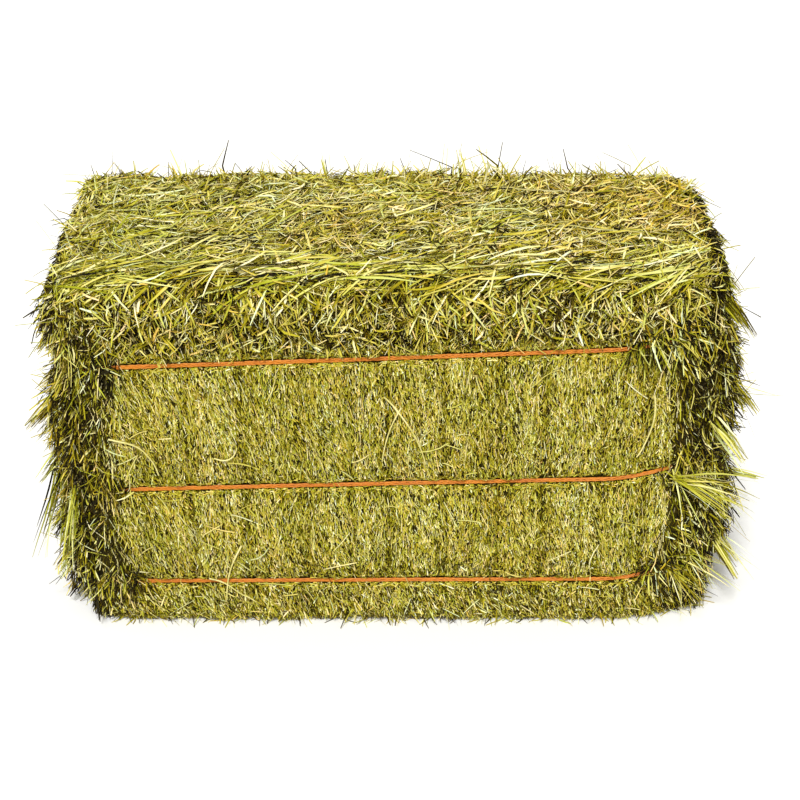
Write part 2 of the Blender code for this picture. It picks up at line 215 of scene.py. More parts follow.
# %% [markdown]
# ## Floor and light
# The bale stands on a plain pale floor in an even white light, as in a photographer's tent. One
# broad lamp, a sun with a wide soft disc, comes from above and a little left of the camera. It is
# what leaves the gaps between the stems dark.

# %% Floor and light
FLOOR_TONE = (0.93, 0.93, 0.93)
SUN_FROM = Vector((-0.20, -1.00, 1.30))
SUN_POWER = 3.0
SUN_DISC = 13.0               # degrees across
SKY_POWER = 0.62
SKY_COLOUR = (1.0, 0.98, 0.88, 1.0)

floor_finish = Finish("pale_floor")
floor_finish.surface(Base_Color=FLOOR_TONE, Roughness=0.9)
bpy.ops.mesh.primitive_plane_add(size=30.0, location=(0, 0, 0))
floor = bpy.context.object
floor.name = "floor"
floor.data.materials.append(floor_finish.material)

sun_data = bpy.data.lights.new("broad_lamp", "SUN")
sun_data.energy = SUN_POWER
sun_data.angle = math.radians(SUN_DISC)
sun = bpy.data.objects.new("broad_lamp", sun_data)
bpy.context.scene.collection.objects.link(sun)
sun.location = SUN_FROM * 2
sun.rotation_euler = (-SUN_FROM).to_track_quat("-Z", "Y").to_euler()

sky = bpy.data.worlds.new("soft_sky")
sky.use_nodes = True
background = sky.node_tree.nodes["Background"]
background.inputs["Color"].default_value = SKY_COLOUR
background.inputs["Strength"].default_value = SKY_POWER
bpy.context.scene.world = sky
bpy.context.scene.view_settings.view_transform = "Standard"
print("sun", SUN_POWER, "sky", SKY_POWER)

# %% [markdown]
# ## The colour of the hay
# Dried meadow grass is never one colour: old stems are brown, leaves olive and yellow green, clean
# stalks straw and nearly white. Each strip gets a place on one colour chart, through its UV map.
# Across the chart runs the tone, from dark to pale. Up the chart lie eight bands, one for each
# hue from grey green to rust, and inside a band runs the strip's own length: darkened at the
# root as painted shade, where it goes into the hay, and drier at the tip. One material then
# colours every strip, and it needs nothing but the UV map.

# %% Material of the stems and blades
CHART = "OFBake"
TONES = [
    (0.00, srgb(14, 9, 0)),
    (0.10, srgb(66, 54, 0)),
    (0.22, srgb(114, 101, 0)),
    (0.34, srgb(149, 138, 12)),
    (0.46, srgb(177, 168, 34)),
    (0.58, srgb(201, 190, 68)),
    (0.70, srgb(218, 206, 104)),
    (0.80, srgb(234, 222, 140)),
    (0.90, srgb(245, 237, 172)),
    (1.00, srgb(252, 248, 208)),
]
BANDS = 8
HUES = [
    (0.90, 1.00, 1.14),
    (0.86, 1.01, 1.02),
    (0.94, 1.01, 0.99),
    (1.00, 1.00, 1.00),
    (1.04, 1.00, 1.00),
    (1.08, 0.97, 0.90),
    (1.13, 0.92, 0.78),
    (1.08, 0.82, 0.70),
]
DRY_BROWN = srgb(150, 112, 50)


def hay_finish():
    finish = Finish("hay_stems")
    chart = finish.node("ShaderNodeUVMap", {"uv_map": CHART})
    tone = finish.node("ShaderNodeSeparateXYZ", {}, [chart], out="X")
    up = finish.node("ShaderNodeSeparateXYZ", {}, [chart], out="Y") * BANDS
    band = up.math("FLOOR")
    along = up - band
    stretched = finish.node("ShaderNodeMapping", {}, {"Vector": chart, "Scale": (170.0, 60.0, 1.0)})
    grain = finish.noise(stretched, 1.0, 3.0)
    # Painted shade: each strip is darkened towards its root, where it goes into the hay.
    root = ((0.36 - along) * 3.0).clamp()
    shade = tone + (grain - 0.5) * 0.20 - root * 0.22
    base = finish.node("ShaderNodeValToRGB", {"stops": TONES}, [shade])
    steps = [(index / BANDS, tuple(c / 1.6 for c in hue)) for index, hue in enumerate(HUES)]
    hue = finish.node("ShaderNodeValToRGB", {"stops": steps, "step": True}, [(band + 0.5) / BANDS])
    tint = finish.mix(hue, (1.6, 1.6, 1.6), 1.0, "MULTIPLY")
    tinted = finish.mix(base, tint, 1.0, "MULTIPLY")
    dry_tip = ((along - 0.84) * 6.0).clamp() * 0.45
    colour = finish.mix(tinted, DRY_BROWN, dry_tip * grain)
    finish.surface(Base_Color=colour, Roughness=0.68, Specular_IOR_Level=0.12)
    return finish.material


hay_material = hay_finish()
print("hay material", len(hay_material.node_tree.nodes), "nodes")

# %% [markdown]
# ## The form that the hay lies on
# The bale is a box with rounded edges that swells between its twines. Each of its six sides has a
# function: from two coordinates on the side it works out the third. It takes whole arrays, so a
# thousand stems are placed at once.

# %% The sides of the bale
def bend_share(x):
    """0 along most of the bale, and up to 1 where the last flake starts."""
    return np.clip((x - BEND_FROM) / (FLAKE_SPAN - BEND_FROM), 0.0, 1.0)


def half_depth(x):
    """Half the bale's thickness, which shrinks where the long faces bend inwards."""
    return HALF_DEPTH - BEND_BACK * bend_share(x) ** 2


def twine_height(which, x, back):
    left, middle, right = TWINE_HEIGHTS[which]
    t = np.clip(x / END_AT_TWINE, -1.0, 1.0)
    share = bend_share(x)
    slope = (right - left) / 2 * t + TWINE_CLIMB[which] * share * share * (3 - 2 * share)
    front = middle + slope + ((left + right) / 2 - middle) * t * t
    return np.where(back, (left + right) / 2 + slope, front)

# %% [markdown]
# ## How far the ends stand out
# The twines hold the ends back at three heights, and the hay swells out in a pillow between each
# pair. The pillows differ from end to end, as measured in the photo.

# %% The form of the ends
def rounded(beyond, wide, fall=None):
    """How far a round edge falls back, at a distance beyond where it starts."""
    t = np.clip(beyond / wide, 0.0, 0.985)
    return (wide if fall is None else fall) * (1 - np.sqrt(1 - t * t))


def end_reach(z, right):
    """How far an end stands out at each height: pillows between the twines."""
    x = np.where(right, END_AT_TWINE, -END_AT_TWINE)
    low, mid, high = (twine_height(which, x, False) for which in TWINE_HEIGHTS)
    full = {name: np.where(right, END_PILLOW[1][name], END_PILLOW[-1][name]) for name in END_PILLOW[1]}
    share = np.clip(z / low, 0, 1)
    base = END_AT_TWINE - 0.006 * (1 - share)
    out = base + (full["bottom"] - base) * np.sin(np.pi * np.minimum(1, 0.28 + share * 0.72))
    # name, where it starts and ends, lean, how much of the curve, how full
    pillows = (("lower", low, mid, 0.85, 1.0, 0.55), ("upper", mid, high, 0.85, 1.0, 0.55),
               ("top", high, HEIGHT, 1.0, 0.80, 0.6))
    for name, start, stop, lean, part, fullness in pillows:
        t = np.clip((z - start) / (stop - start), 0, 1)
        curve = np.sin(np.pi * t ** lean * part).clip(0) ** fullness
        out = np.where(z > start, END_AT_TWINE + (full[name] - END_AT_TWINE) * curve, out)
    return out - rounded(z - (HEIGHT - 0.022), 0.022)


def corner_width(reach):
    return np.clip(reach - FLAKE_SPAN - 0.006, 0.006, END_CORNER)

# %% [markdown]
# ## Small unevenness
# Nothing on a bale is flat. A few crossed waves with fixed directions give a soft unevenness, and
# a small valley marks each seam between two flakes.

# %% Unevenness and seams
WAVES = np.random.default_rng(3)
WAVE_SET = [(WAVES.normal(size=2) * scale, WAVES.uniform(0, 6.28)) for scale in (14, 22, 34, 50, 70)]


def lumps(u, v, seed):
    """Soft unevenness, about -1 to 1, from a few crossed waves."""
    total = 0.0
    for number, (wave, phase) in enumerate(WAVE_SET):
        total = total + np.sin(u * wave[0] + v * wave[1] + phase + seed * (number + 1.7))
    return total / 2.6


def flake_groove(x, y, z):
    """Depth of the small valleys where one flake meets the next."""
    total = 0.0
    for place, lean_y, lean_z in boundaries:
        seam = place + lean_y * y + lean_z * (z - HEIGHT / 2)
        total = total + np.exp(-((x - seam) / 0.007) ** 2)
    return FLAKE_GROOVE * total

# %% [markdown]
# ## The six sides
# The long faces gather all of it: the swell between twines, the bite of each twine, the round
# edges and the seams. The other sides are simpler.

# %% The six sides
def face_depth(x, z, back):
    """Half the bale's thickness at a point of the front or the back."""
    levels = [twine_height(which, x, back) for which in TWINE_HEIGHTS]
    depth = half_depth(x) + 0.0025 * lumps(x, z, np.where(back, 4.0, 1.0))
    for level in levels:
        depth = depth - TWINE_BITE * np.exp(-((z - level) / 0.009) ** 2)
    for low, high in zip(levels, levels[1:]):
        t = np.clip((z - low) / (high - low), 0, 1)
        depth = depth + SIDE_SWELL * np.sin(np.pi * t) ** 1.5
    depth = depth - rounded(z - (HEIGHT - TOP_EDGE), TOP_EDGE) - rounded(0.020 - z, 0.020)
    reach = end_reach(z, x > 0)
    corner = corner_width(reach)
    depth = depth - rounded(np.abs(x) - (reach - corner), corner, END_CORNER)
    return depth - flake_groove(x, np.where(back, HALF_DEPTH, -HALF_DEPTH), z)


def long_side(x, z, back):
    depth = face_depth(x, z, back)
    return np.stack([x, depth if back else -depth, z], -1)


def top_side(x, v):
    y = v * half_depth(x) / HALF_DEPTH
    z = HEIGHT + 0.002 + 0.003 * lumps(x, y, 9.0) - 0.6 * flake_groove(x, y, HEIGHT)
    z = z - rounded(np.abs(v) - (HALF_DEPTH - TOP_EDGE), TOP_EDGE)
    beyond = np.where(x > 0, x - 0.448, -x - 0.464)
    return np.stack([x, y, z - rounded(beyond, 0.030)], -1)


def under_side(x, v):
    edge = rounded(np.abs(v) - (HALF_DEPTH - 0.020), 0.020)
    return np.stack([x, v * half_depth(x) / HALF_DEPTH, LOWEST + edge], -1)


def end_side(y, z, right):
    sign = 1.0 if right else -1.0
    depth = half_depth(np.array(sign * FLAKE_SPAN)) - rounded(z - (HEIGHT - TOP_EDGE), TOP_EDGE)
    reach = end_reach(z, right)
    x = reach - rounded(np.abs(y) - (depth - END_CORNER), END_CORNER, corner_width(reach))
    return np.stack([sign * (x + 0.003 * lumps(y, z, 6.0)), y, z], -1)


# side: (function, lowest u, highest u, lowest v, highest v, which way is out)
SIDES = {
    "front": (lambda x, z: long_side(x, z, False), -0.475, 0.475, 0.006, HEIGHT - 0.004, (0, -1, 0)),
    "back": (lambda x, z: long_side(x, z, True), -0.475, 0.475, 0.006, HEIGHT - 0.004, (0, 1, 0)),
    "top": (top_side, -0.482, 0.464, -0.200, 0.200, (0, 0, 1)),
    "under": (under_side, -0.450, 0.450, -0.198, 0.198, (0, 0, -1)),
    "right": (lambda y, z: end_side(y, z, True), -0.168, 0.168, 0.006, HEIGHT - 0.006, (1, 0, 0)),
    "left": (lambda y, z: end_side(y, z, False), -0.194, 0.194, 0.006, HEIGHT - 0.006, (-1, 0, 0)),
}

# %% [markdown]
# ## From a place to a point
# A place on a side is two numbers. From them come a point and the way out of the hay there, which
# is the normal of the side's slopes along both coordinates.

# %% Places on a side
def unit(vectors):
    return vectors / np.maximum(np.linalg.norm(vectors, axis=-1, keepdims=True), 1e-9)


def on_side(side, u, v):
    """Points on a side and the way out of the hay there; beyond the side's edge it goes on straight."""
    shape, u_low, u_high, v_low, v_high, out = SIDES[side]
    uc, vc = np.clip(u, u_low, u_high), np.clip(v, v_low, v_high)
    small = 0.003
    point = shape(uc, vc)
    along_u = unit(shape(uc + small, vc) - shape(uc - small, vc))
    along_v = unit(shape(uc, vc + small) - shape(uc, vc - small))
    normal = unit(np.cross(along_u, along_v))
    flip = np.sign((normal * np.array(out)).sum(-1, keepdims=True))
    point = point + (u - uc)[..., None] * along_u + (v - vc)[..., None] * along_v
    return point, normal * np.where(flip == 0, 1, flip)


check_point, check_normal = on_side("front", np.array([0.0]), np.array([0.3]))
print("front middle", check_point.round(3), "faces", check_normal.round(2))

# %% [markdown]
# ## Stems and blades as mesh
# Every strip starts from a row of points on the bale: it sets off in a heading, bends a little,
# and rises from one depth in the hay to another. A chopped end is one flat piece, a leaf blade is
# a strip folded along its middle, and a stalk is a three-sided tube. All strips of a kind are made
# in one go with arrays, which takes a second where a loop would take minutes.

# %% Strips of hay
FARTHEST = (0.572, 0.236, 0.632)     # no stem reaches past these, along X, Y and Z
batches = []


def tell(title):
    strips = sum(len(batch["points"]) for batch in batches)
    print(title, strips, "after", round(time.time() - started, 1), "s")


def outward(side):
    return np.array(SIDES[side][5], float)


def run(side, u, v, heading, length, bend, rise, steps, power=1.3, stiff=False):
    """Centre points of stems on a side, as (stem, step, xyz), and the way out at each."""
    t = np.linspace(0, 1, steps + 1)
    turn = heading[:, None] + bend[:, None] * (t[:-1] + t[1:] - 1)[None, :] / 2
    hop = (length / steps)[:, None]
    zero = np.zeros((len(u), 1))
    du = np.concatenate([zero, np.cumsum(np.cos(turn) * hop, 1)], 1)
    dv = np.concatenate([zero, np.cumsum(np.sin(turn) * hop, 1)], 1)
    points, normals = on_side(side, u[:, None] + du, v[:, None] + dv)
    if stiff:
        powers = np.stack([np.ones(steps + 1), t, t * t], 1)
        level = points @ outward(side)
        smooth = level @ (powers @ np.linalg.pinv(powers)).T
        lift = 0.6 * (level - smooth).max(1, keepdims=True)
        points = points + (smooth - level + lift)[..., None] * outward(side)
        normals = unit(normals + 2 * normals.mean(1, keepdims=True))
    start, stop = rise
    height = start[:, None] + (stop - start)[:, None] * t ** power
    return points + normals * height[..., None], normals

# %% [markdown]
# ## Batches
# The strips of one sort are kept as one batch of arrays. They become mesh once all are known,
# because each must go to the flake that it is rooted in.

# %% Batches of strips
def add_batch(kind, points, normals, width, tone, hue=3.0, roll=0.0, taper=0.3, chart_length=1.0):
    """Keeps one set of strips; they become mesh when all of them are known."""
    count = len(points)
    inside = (np.abs(points).max(1) < FARTHEST).all(-1)
    low = np.maximum(points[..., 2], LOWEST)
    points = np.concatenate([points[..., :2], low[..., None]], -1)
    batch = {
        "kind": kind, "points": points, "normals": normals,
        "width": np.broadcast_to(width, count), "tone": np.clip(tone, 0.004, 0.985),
        "hue": np.clip(np.round(np.broadcast_to(hue, count)), 0, BANDS - 1),
        "roll": np.broadcast_to(roll, count),
        "start": rng.uniform(min(0.36, 1 - chart_length), 1 - chart_length, count),
    }
    batch = {key: value if key == "kind" else value[inside] for key, value in batch.items()}
    batches.append({**batch, "taper": taper, "chart_length": chart_length})

# %% [markdown]
# ## A batch as mesh
# Each sort has a rim: the points of its cross section, which move along the stem. The width swells
# and tapers on the way, and the chart place follows the stem's own length.

# %% From batch to mesh
RIMS = {
    "flat": [(-1, 0), (1, 0)],
    "folded": [(-1, 0.24), (0, -0.24), (1, 0.24)],
    "tube": [(0.0, 1.0), (-0.87, -0.5), (0.87, -0.5)],
}


def strip_mesh(batch, pick):
    """Vertices, faces and chart places of the picked strips of one batch."""
    points = batch["points"][pick]
    normals = batch["normals"][pick]
    count, rows = points.shape[:2]
    ahead = unit(np.gradient(points, axis=1))
    across = unit(np.cross(ahead, normals))
    out = unit(np.cross(across, ahead))
    roll = batch["roll"][pick][:, None, None]
    wide = across * np.cos(roll) + out * np.sin(roll)
    deep = -across * np.sin(roll) + out * np.cos(roll)
    t = np.linspace(0, 1, rows)
    if batch["kind"] == "tube":
        body = 1 - (1 - batch["taper"]) * t
    else:
        body = np.minimum(1.0, 0.7 + 1.2 * t) * (1 - (1 - batch["taper"]) * np.clip(t - 0.5, 0, 1) * 2)
    half = (batch["width"][pick][:, None] / 2 * body[None, :])[..., None]
    rims = RIMS[batch["kind"]]
    verts = np.stack([points + wide * half * a + deep * half * b for a, b in rims], 2)
    sides = len(rims)
    spans = sides if batch["kind"] == "tube" else sides - 1
    base = (np.arange(count) * rows * sides)[:, None, None]
    row = (np.arange(rows - 1) * sides)[None, :, None]
    edge = np.arange(spans)[None, None, :]
    following = (edge + 1) % sides
    quads = np.stack([base + row + edge, base + row + following,
                      base + row + sides + following, base + row + sides + edge], -1)
    shape = (count, rows - 1, spans)
    u_low = np.broadcast_to(batch["tone"][pick][:, None, None] + 0.012 * edge / spans, shape)
    u_high = u_low + 0.012 / spans
    step = 0.90 * batch["chart_length"] / (rows - 1) / BANDS
    start = (batch["hue"][pick] + 0.05 + 0.90 * batch["start"][pick]) / BANDS
    v_low = np.broadcast_to(start[:, None, None] + step * np.arange(rows - 1)[None, :, None], shape)
    v_high = v_low + step
    chart = np.stack([np.stack([u_low, v_low], -1), np.stack([u_high, v_low], -1),
                      np.stack([u_high, v_high], -1), np.stack([u_low, v_high], -1)], -2)
    return verts.reshape(-1, 3), quads.reshape(-1, 4), chart.reshape(-1, 2)


def make_mesh(name, verts, faces, chart=None, material=None):
    """A mesh of quads from arrays."""
    mesh = bpy.data.meshes.new(name)
    mesh.vertices.add(len(verts))
    mesh.vertices.foreach_set("co", np.ascontiguousarray(verts, np.float32).ravel())
    mesh.loops.add(faces.size)
    mesh.loops.foreach_set("vertex_index", np.ascontiguousarray(faces, np.int32).ravel())
    mesh.polygons.add(len(faces))
    mesh.polygons.foreach_set("loop_start", np.arange(len(faces), dtype=np.int32) * faces.shape[1])
    mesh.update(calc_edges=True)
    if chart is not None:
        layer = mesh.uv_layers.new(name=CHART)
        layer.data.foreach_set("uv", np.ascontiguousarray(chart, np.float32).ravel())
    mesh.materials.append(material or hay_material)
    piece = bpy.data.objects.new(name, mesh)
    bpy.context.scene.collection.objects.link(piece)
    return piece

# %% [markdown]
# ## Tubes and joined parts
# Twines, straws and the pressed hay are rows of rings, and one function gives the quads between
# them for all three.

# %% Tubes and joined parts
def ring_quads(count, sides, closed=False):
    """Quads between a row of rings, each of as many points as the tube has sides."""
    i = np.arange(count if closed else count - 1)[:, None]
    j = np.arange(sides)[None, :]
    k = (j + 1) % sides
    following = (i + 1) % count
    quads = np.stack([i * sides + j, i * sides + k, following * sides + k, following * sides + j], -1)
    return quads.reshape(-1, 4)


def joined(parts):
    """The arrays of one mesh from those of its parts: vertices, faces and, if they have any, charts."""
    verts, faces, *charts = zip(*parts)
    offsets = np.cumsum([0] + [len(part) for part in verts[:-1]])
    faces = [part + offset for part, offset in zip(faces, offsets)]
    return [np.concatenate(arrays) for arrays in (verts, faces, *charts)]

# %% [markdown]
# ## What is drawn at random
# All draws come from one seeded generator, in the order of the script, so the hay is the same on
# every run.

# %% Random places, tones and headings
def spread(side, count, u_range=None, v_range=None):
    """Random places on a side."""
    _, u_low, u_high, v_low, v_high, _ = SIDES[side]
    u_low, u_high = u_range or (u_low, u_high)
    v_low, v_high = v_range or (v_low, v_high)
    return rng.uniform(u_low, u_high, count), rng.uniform(v_low, v_high, count)


def tones(count, middle, spread_by, dark_share=0.0, pale_share=0.0):
    """Places on the colour chart around a middle tone, some darker and some paler."""
    tone = rng.normal(middle, spread_by, count)
    draw = rng.uniform(size=count)
    tone = np.where(draw < dark_share, rng.uniform(0.0, 0.12, count), tone)
    return np.where(draw > 1 - pale_share, rng.uniform(0.78, 0.98, count), tone)


def looks(count, wide, tone, hue, roll):
    """Width, tone, hue and roll: drawn from a range, what tones() needs, and two spreads."""
    width = rng.uniform(*wide, count)
    tone = tones(count, *tone)
    return width, tone, rng.normal(*hue, count), rng.normal(0, roll, count) if roll else 0.0


def either_way(count):
    """Half a turn for half of the strips, so that tips point both ways."""
    return math.pi * (rng.uniform(size=count) < 0.5)


print("strip makers ready")

# %% [markdown]
# ## Keeping the twines in sight
# The twines are pulled tight into the hay, so hardly a stem lies over them, but for the loose
# bunches that hang over their ends at the corners. A strip on the front or the back that would
# cross a twine elsewhere is dropped, but for a few in a hundred.

# %% Strips that cross a twine
THATCH_EDGE = {
    "right": ([0, 0.05, 0.089, 0.12, 0.2, 0.26, 0.30, 0.36, 0.42, 0.46, 0.484, 0.52, 0.57],
              [0.42, 0.39, 0.375, 0.385, 0.405, 0.40, 0.405, 0.40, 0.385, 0.36, 0.325, 0.36, 0.43]),
    "left": ([0, 0.05, 0.08, 0.12, 0.2, 0.243, 0.30, 0.36, 0.42, 0.45, 0.50, 0.57],
             [0.42, 0.40, 0.375, 0.39, 0.40, 0.395, 0.405, 0.408, 0.404, 0.40, 0.43, 0.46]),
}


def thatch_edge(x, z):
    """Where along X the cut face ends and the hanging bunches of an end begin."""
    right = np.interp(z, *THATCH_EDGE["right"])
    return np.where(x > 0, right, np.interp(z, *THATCH_EDGE["left"]))


def clear_of_twines(points, back, keep_share):
    """True for each strip that stays between the twines, and for a few that cross one."""
    x, z = points[..., 0], points[..., 2]
    crossing = np.zeros(len(points), bool)
    for which in TWINE_HEIGHTS:
        above = z - twine_height(which, x, back)
        near = (np.abs(above) < 0.0036).any(1)
        crossing |= near | ((above.min(1) < 0) & (above.max(1) > 0))
    return ~crossing | (rng.uniform(size=len(points)) < keep_share)


def add_clear(kind, side, points, normals, width, tone, hue, roll, taper, chart_length, keep_share):
    """Like add_batch, without the strips that cross a twine, but for the share to keep."""
    keep = clear_of_twines(points, side == "back", keep_share)
    roll = np.broadcast_to(roll, len(points))
    add_batch(kind, points[keep], normals[keep], width[keep], tone[keep], hue[keep], roll[keep],
              taper, chart_length)


def scatter(kind, side, u, v, heading, length, rise, bend, wide, tone, hue, roll, end, steps=1,
            power=1.3, stiff=False):
    """One sort of strips at places on a long side.

    Rise is a range of depths at the root and one at the tip, wide a range; heading and length are
    arrays, or what to draw them from; tone goes to tones(), hue is a middle and a spread, bend and
    roll are spreads, and end is the taper, the chart length and the share kept over a twine.
    """
    count = len(u)
    ups = [rng.uniform(*depths, count) for depths in rise]
    if isinstance(heading, tuple):
        heading = rng.normal(*heading, count)
    if isinstance(length, tuple):
        length = rng.uniform(*length, count)
    bends = rng.normal(0, bend, count) if bend else np.zeros(count)
    points, normals = run(side, u, v, heading, length, bends, ups, steps, power, stiff)
    add_clear(kind, side, points, normals, *looks(count, wide, tone, hue, roll), *end)

# %% [markdown]
# ## Front and back: the cut faces
# A plunger and a knife press and shear every flake, so the two long faces that carry the twines
# show a fine even mosaic of short ends, nearly upright and leaning a little to the left. Each is
# a strip of one to two millimetres by four to ten, tilted so that it shades the next. A thin
# second layer is longer, and a few pale stalks lie on top.

# %% The chopped faces
LOW_ENDS = 1500               # looser ends near the floor
TWINE_ENDS = 2600             # small ends pushed aside by each twine


def chop_lean(u, v, side):
    """The heading of the chopped ends: a little off upright, more so low down and at the left."""
    lean = 95 + 11 * np.clip((-u - 0.05) / 0.3, 0, 1) + 16 * np.clip((0.11 - v) / 0.08, 0, 1)
    lean = np.radians(lean + 9 * lumps(u * 0.7, v * 0.7, 12.0))
    return lean if side == "front" else math.pi - lean


def chopped_face(side, count, longer, stray):
    """The mosaic of short ends, the longer ones over it, and the stalks that lie on top."""
    u, v = spread(side, count)
    level = twine_height("top", u, side == "back")
    loose = (v > level + 0.017) | (np.abs(u) > thatch_edge(u, v))
    heading = chop_lean(u, v, side) + rng.normal(0, 0.36, count) + either_way(count)
    heading = heading + loose * rng.normal(0, 0.9, count)
    length = rng.uniform(0.0035, 0.0105, count)
    deep = rng.uniform(-0.0035, 0.0006, count) - 0.006 * loose
    high = rng.uniform(0.0000, 0.0032, count) - 0.005 * loose
    points, normals = run(side, u, v, heading, length, np.zeros(count), (deep, high), 1)
    width = rng.uniform(0.0008, 0.0019, count)
    # Painted shade: ends in the seams between flakes are darkened, where the groove lies.
    seam = flake_groove(u, points[:, 0, 1], v) / FLAKE_GROOVE
    column = lumps(u * 1.9, v * 0.12, 30.0)
    tone = tones(count, 0.53, 0.17, 0.17, 0.08) + 0.06 * column - 0.16 * seam
    width = np.where(tone < 0.16, 0.68, 1.0) * width
    # Painted shade: loose ends above the top twine are made near black, those past the cut face at an end
    # darker the further out, and some ends near the floor a quarter as bright.
    low = rng.uniform(size=count) < 0.30 * np.clip((0.12 - v) / 0.05, 0, 1)
    beyond = np.clip((np.abs(u) - thatch_edge(u, v)) / 0.045, 0, 1)
    shade_factor = np.where(beyond > 0, 0.62 - 0.56 * beyond ** 0.5, 0.04)
    tone = np.where(loose | low, tone * np.where(low & (beyond <= 0), 0.25, shade_factor), tone)
    hue = rng.normal(3.1 + 0.8 * lumps(u * 1.3, v * 1.3, 41.0), 1.5, count)
    add_clear("flat", side, points, normals, width, tone, hue, rng.normal(0, 0.7, count), 0.9, 0.3, 0.01)

    u, v = spread(side, longer, (-0.43, 0.41))
    v = v * 0.86
    heading = chop_lean(u, v, side) + rng.normal(0, 0.17, longer) + either_way(longer)
    length = rng.uniform(0.010, 0.036, longer)
    scatter("flat", side, u, v, heading, length, ((-0.003, 0.0), (0.0005, 0.0045)), 0.25,
            (0.0008, 0.0016), (0.60, 0.16, 0.14, 0.20), (3.5, 1.3), 0.5, (0.5, 0.6, 0.02))

    u, v = spread(side, stray, (-0.44, 0.42))
    heading = rng.normal(math.radians(110), 0.8, stray)
    length = rng.uniform(0.012, 0.050, stray)
    scatter("tube", side, u, v, heading, length, ((0.0, 0.002), (0.002, 0.006)), 0.3,
            (0.0013, 0.0030), (0.76, 0.10), (2.5, 1), 0, (0.6, 0.8, 0.15), 3, stiff=True)

    u, v = spread(side, LOW_ENDS, (-0.42, 0.42), (0.008, 0.105))
    heading = chop_lean(u, v, side) + rng.normal(0, 0.55, LOW_ENDS) + either_way(LOW_ENDS)
    scatter("flat", side, u, v, heading, (0.008, 0.028), ((-0.004, 0.0), (0.001, 0.006)), 0.3,
            (0.0013, 0.0027), (0.58, 0.18, 0.34, 0.12), (3.0, 1.4), 0.6, (0.7, 1.0, 0.03))

    for which in TWINE_HEIGHTS:
        u = rng.uniform(-0.44, 0.44, TWINE_ENDS)
        away = rng.uniform(0.0038, 0.0110, TWINE_ENDS) * rng.choice([-1, 1], TWINE_ENDS)
        v = twine_height(which, u, side == "back") + away
        heading = rng.normal(0, 0.8, TWINE_ENDS) * 0.55 + either_way(TWINE_ENDS)
        scatter("flat", side, u, v, heading, (0.003, 0.007), ((-0.0005, 0.0025), (0.0005, 0.0035)), 0,
                (0.0009, 0.0020), (0.50, 0.15, 0.12, 0.04), (3.4, 1.4), 0.5, (0.9, 0.3, 0.0))


chopped_face("front", 104000, 7500, 190)
chopped_face("back", 54000, 3500, 170)
tell("strips so far")

# %% [markdown]
# ## The shoulder above the top twine
# Above the top twine nothing presses the hay from outside, so it is loose: stubby stems in all
# directions, most of them hanging, with dark gaps between them, which a deep under-layer of
# near-black strips also paints as shade. These strips are wider, and stand further out. Some hang
# down from the top's edge.

# %% The loose shoulder
def shoulder(side, share):
    """Loose stems above the top twine; the share of them says how dense they stand."""
    back = side == "back"
    # Painted shade: the first sort is a deep under-layer of near-black strips that fills the gaps.
    # kind, how many, narrowest, widest, shortest, longest, tone, lowest and highest depth
    sorts = (("flat", 6000, 0.0012, 0.0026, 0.008, 0.022, 0.06, -0.012, -0.004),
             ("flat", 8500, 0.0010, 0.0021, 0.006, 0.020, 0.47, -0.005, 0.008),
             ("folded", 900, 0.0016, 0.0036, 0.012, 0.036, 0.56, 0.000, 0.013),
             ("tube", 900, 0.0014, 0.0024, 0.012, 0.040, 0.60, 0.000, 0.013))
    for kind, number, narrow, wide, short, long, middle, low, high in sorts:
        number = int(number * share)
        u = rng.uniform(-0.475, 0.442, number)
        level = twine_height("top", u, back)
        v = level + 0.008 + (HEIGHT + 0.004 - level) * rng.beta(1.25, 1.0, number)
        heading = rng.normal(math.radians(-90), 1.0, number)
        heading = np.where(rng.uniform(size=number) < 0.3, rng.uniform(0, 6.28, number), heading)
        length = rng.uniform(short, long, number)
        length = np.minimum(length, np.maximum(v - level, 0.008) * 1.2)
        rise = ((low - 0.006, low), (low + 0.002, high))
        scatter(kind, side, u, v, heading, length, rise, 0.35, (narrow, wide),
                (middle + 0.02, 0.20, 0.26, 0.12), (3.6, 1.6), 0.8, (0.6, 1.0, 0.05),
                1 if kind == "flat" else 2, 0.8)

    number = int(260 * share)
    u = rng.uniform(-0.47, 0.435, number)
    v = rng.uniform(HEIGHT - 0.026, HEIGHT + 0.006, number)
    heading = rng.normal(math.radians(-90), 0.75, number)
    length = rng.uniform(0.020, 0.060, number)
    scatter("folded", side, u, v, heading, length, ((-0.004, 0.004), (0.004, 0.014)), 0.3,
            (0.0016, 0.0036), (0.56, 0.18, 0.16, 0.10), (2.4, 1.4), 0.6, (0.4, 1.0, 0.03), 3, 0.8)


shoulder("front", 1.0)
shoulder("back", 0.75)
tell("strips so far")

# %% [markdown]
# ## The top: leaves and stalks in a mat
# On the top the hay lies as it fell in the chamber: leaves and stalks cross each other in a flat
# mat. More of them run along the bale than across it, and short pieces lie every way. Along the
# front edge the long ones gather.

